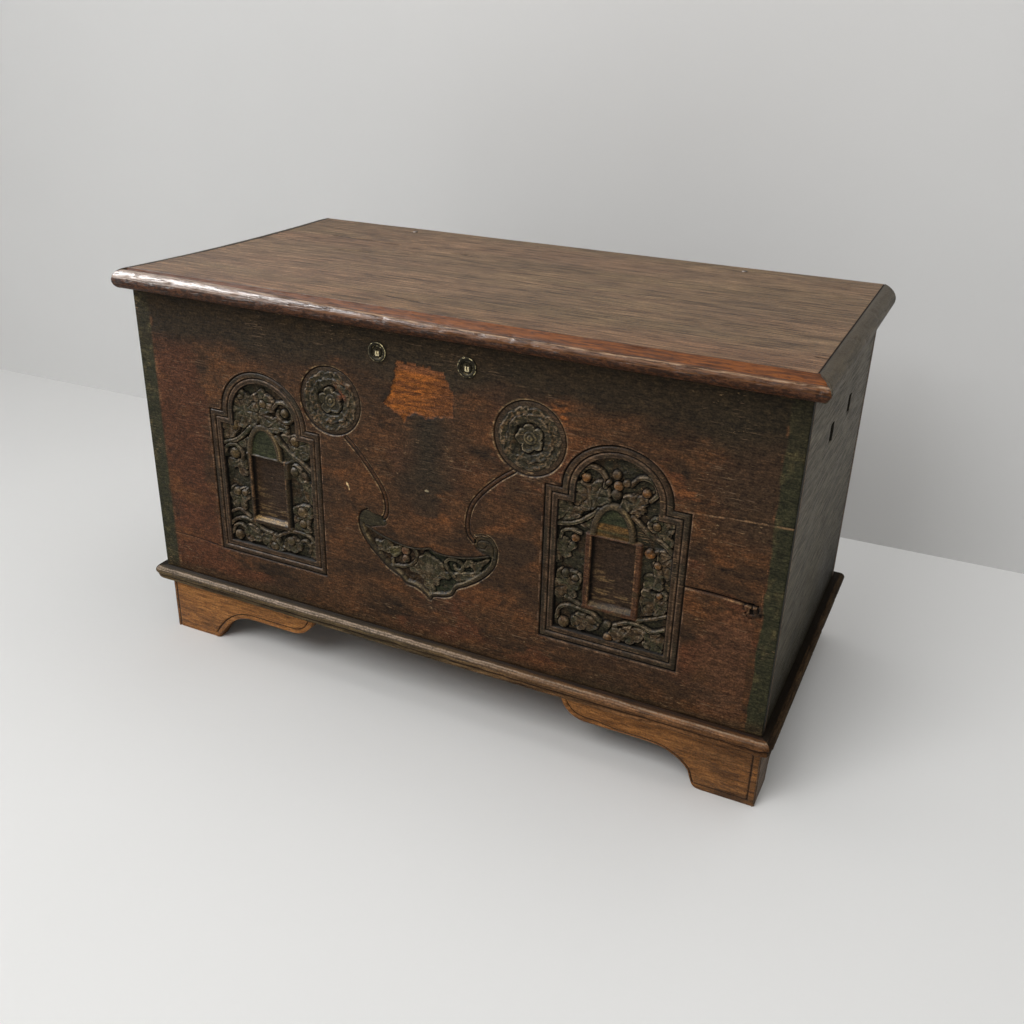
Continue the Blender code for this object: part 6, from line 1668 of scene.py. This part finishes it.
def main():
    """Makes the finishes and the pieces, and dresses the solids that stay."""
    front = front_finish()
    lid = wood_finish("lid_wood_worn", "X", linear(84, 64, 48), linear(122, 98, 76), linear(144, 118, 92),
                      (0.42, 0.62), hollow_shade_and_joints, lid_tint, 3.0, 0.92, 0.10, 0.08, (290, 15))
    lid_edge = wood_finish("lid_edge_front", "X", linear(70, 44, 28), linear(94, 58, 36), linear(118, 74, 44),
                           (0.40, 0.60), nose_wear_and_highlights, None, 5.0, 0.9, 0.12)
    lid_end = wood_finish("lid_edge_ends", "Y", linear(70, 64, 52), linear(96, 88, 74), linear(112, 102, 86),
                          (0.42, 0.62), end_dirt_and_ledge_shade, None, 6.0, 0.8, 0.14)
    base = wood_finish("base_wood_front", "X", linear(60, 52, 37), linear(88, 74, 53), linear(112, 94, 66),
                       (0.50, 0.70), base_wear_and_highlights, None, 8.0, 0.9, 0.06)
    base_end = wood_finish("base_wood_ends", "Y", linear(36, 27, 18), linear(54, 41, 28), linear(72, 56, 38),
                           (0.50, 0.70), end_dirt_and_ledge_shade, None, 9.0, 0.9, 0.03)
    foot = wood_finish("foot_wood_worn", "X", linear(124, 80, 38), linear(156, 104, 54), linear(178, 124, 70),
                       (0.46, 0.68), hollow_shade_and_joints, foot_tint, 11.0, 0.6, 0.18, 0.3, (260, 34))
    foot_end = wood_finish("foot_wood_ends", "Y", linear(62, 48, 34), linear(84, 66, 47), linear(104, 82, 58),
                           (0.46, 0.68), hollow_shade_and_joints, None, 12.0, 0.75, 0.2, 0.2)
    case = wood_finish("case_wood_worn", "Y", linear(84, 80, 71), linear(110, 105, 95), linear(126, 120, 107),
                       (0.44, 0.68), hollow_shade_and_joints, case_low_shade_and_tint, 13.0, 0.55, 0.03, 0.2)
    back = wood_finish("back_wood", "X", linear(70, 58, 46), linear(94, 78, 62), linear(112, 94, 76),
                       (0.5, 0.72), None, None, 15.0, 0.9, 0.2)
    inside = wood_finish("inside_wood_dry", "X", linear(104, 76, 52), linear(134, 102, 72), linear(158, 124, 90),
                         (0.6, 0.8), None, None, 17.0, 0.7, 0.2)
    iron = metal_finish("old_iron", (0.10, 0.085, 0.075), (0.05, 0.04, 0.034), (0.45, 0.75), 0.8, 160)
    brass = metal_finish("old_brass", (0.70, 0.58, 0.30), (0.34, 0.26, 0.11), (0.26, 0.46), 1.0, 220)
    ring = metal_finish("brass_ring_dark", (0.62, 0.52, 0.28), (0.020, 0.017, 0.011), (0.28, 0.60), 0.9, 190, "rubbed")
    plug = plug_finish()
    by_slot = {"front_wood": front, "case_wood": back, "inside_wood": inside, "lid_wood": lid,
               "moulding_wood": lid_edge, "base_wood": base, "foot_wood": foot, "iron": iron, "brass": brass}
    for part in frame["record"]["subparts"]:
        finish = plug if part["node"].startswith("lock_plug") else by_slot[part["material_slot"]]
        mesh = NODES[part["node"]].data
        mesh.materials.clear()
        mesh.materials.append(finish)
    make_front(front, inside)
    make_lid_board(lid)
    wide, narrow = lid_section(False), lid_section(True)
    plain = np.asarray([(0.3, 29.7)] + curve((2.0, 12.5), (19.0, 17.3), 90, 0, 20)
                       + curve((11.0, 12.5), (10.0, 12.4), 0, -90, 14)[1:] + [(0.3, 0.0)])
    number = np.arange(len(wide))
    # ridge places a painted highlight line on the nose; join darkens the joint with the board and, at half strength,
    # the quirk as painted shade.
    edge_shares = {"nose": ((number > 9) & (number < 25)) * 1.0, "band": ((number > 1) & (number < 9)) * 1.0,
                   "join": np.isin(number, (0, 1)) * 0.9 + (number == 9) * 0.5, "under": (number > 24) * 1.0,
                   "ridge": hump(number, 13.0, 1.6)}
    number = np.arange(len(plain))
    end_shares = {"band": 1 - ramp(number, 7.0, 20.0), "join": (number == 0) * 1.0}
    make_mouldings("lid_moulding", (narrow, wide), (plain, plain), LID_LOW.z, LID_HIGH.y, 0.020,
                   (edge_shares, end_shares), (lid_edge, lid_end), "lid",
                   lambda run: lid_sag(np.full(run.shape, -HALF_WIDTH), LID_LOW.y + run))
    section, upright = base_section(42.0), base_section(42.0, True)
    number = np.arange(len(section))
    # nose places a pale band, rubbed and partly painted highlight; ridge a painted highlight line; join darkens the
    # joints and the top ledge.
    base_shares = {"nose": np.interp(number, (5, 6, 7, 8, 9, 10, 11, 12), (0, 1, 1, 0.3, 0.25, 0.9, 0.35, 0)),
                   "join": np.isin(number, (0, 1, 2, 21, 22)) * 1.0 + np.isin(number, (3, 4, 12)) * 0.5,
                   "ridge": hump(number, 6.8, 0.9)}
    # On the base's ends join covers the whole top ledge: painted shade there.
    base_end_shares = {"band": np.zeros(len(section)), "join": ((number < 4) | np.isin(number, (21, 22))) * 1.0}
    make_mouldings("base_moulding", (section, upright), (section, upright), BASE_LOW.z,
                   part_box("base_moulding_left")[1].y, 0, (base_shares, base_end_shares), (base, base_end), "chest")
    for side in (-1, 1):
        make_end(side, case)
    make_feet(foot, foot_end)
    make_locks(ring)
    make_clenches(iron)
    make_camera()
    make_stage()
    bpy.context.scene.view_settings.view_transform = "Standard"


main()
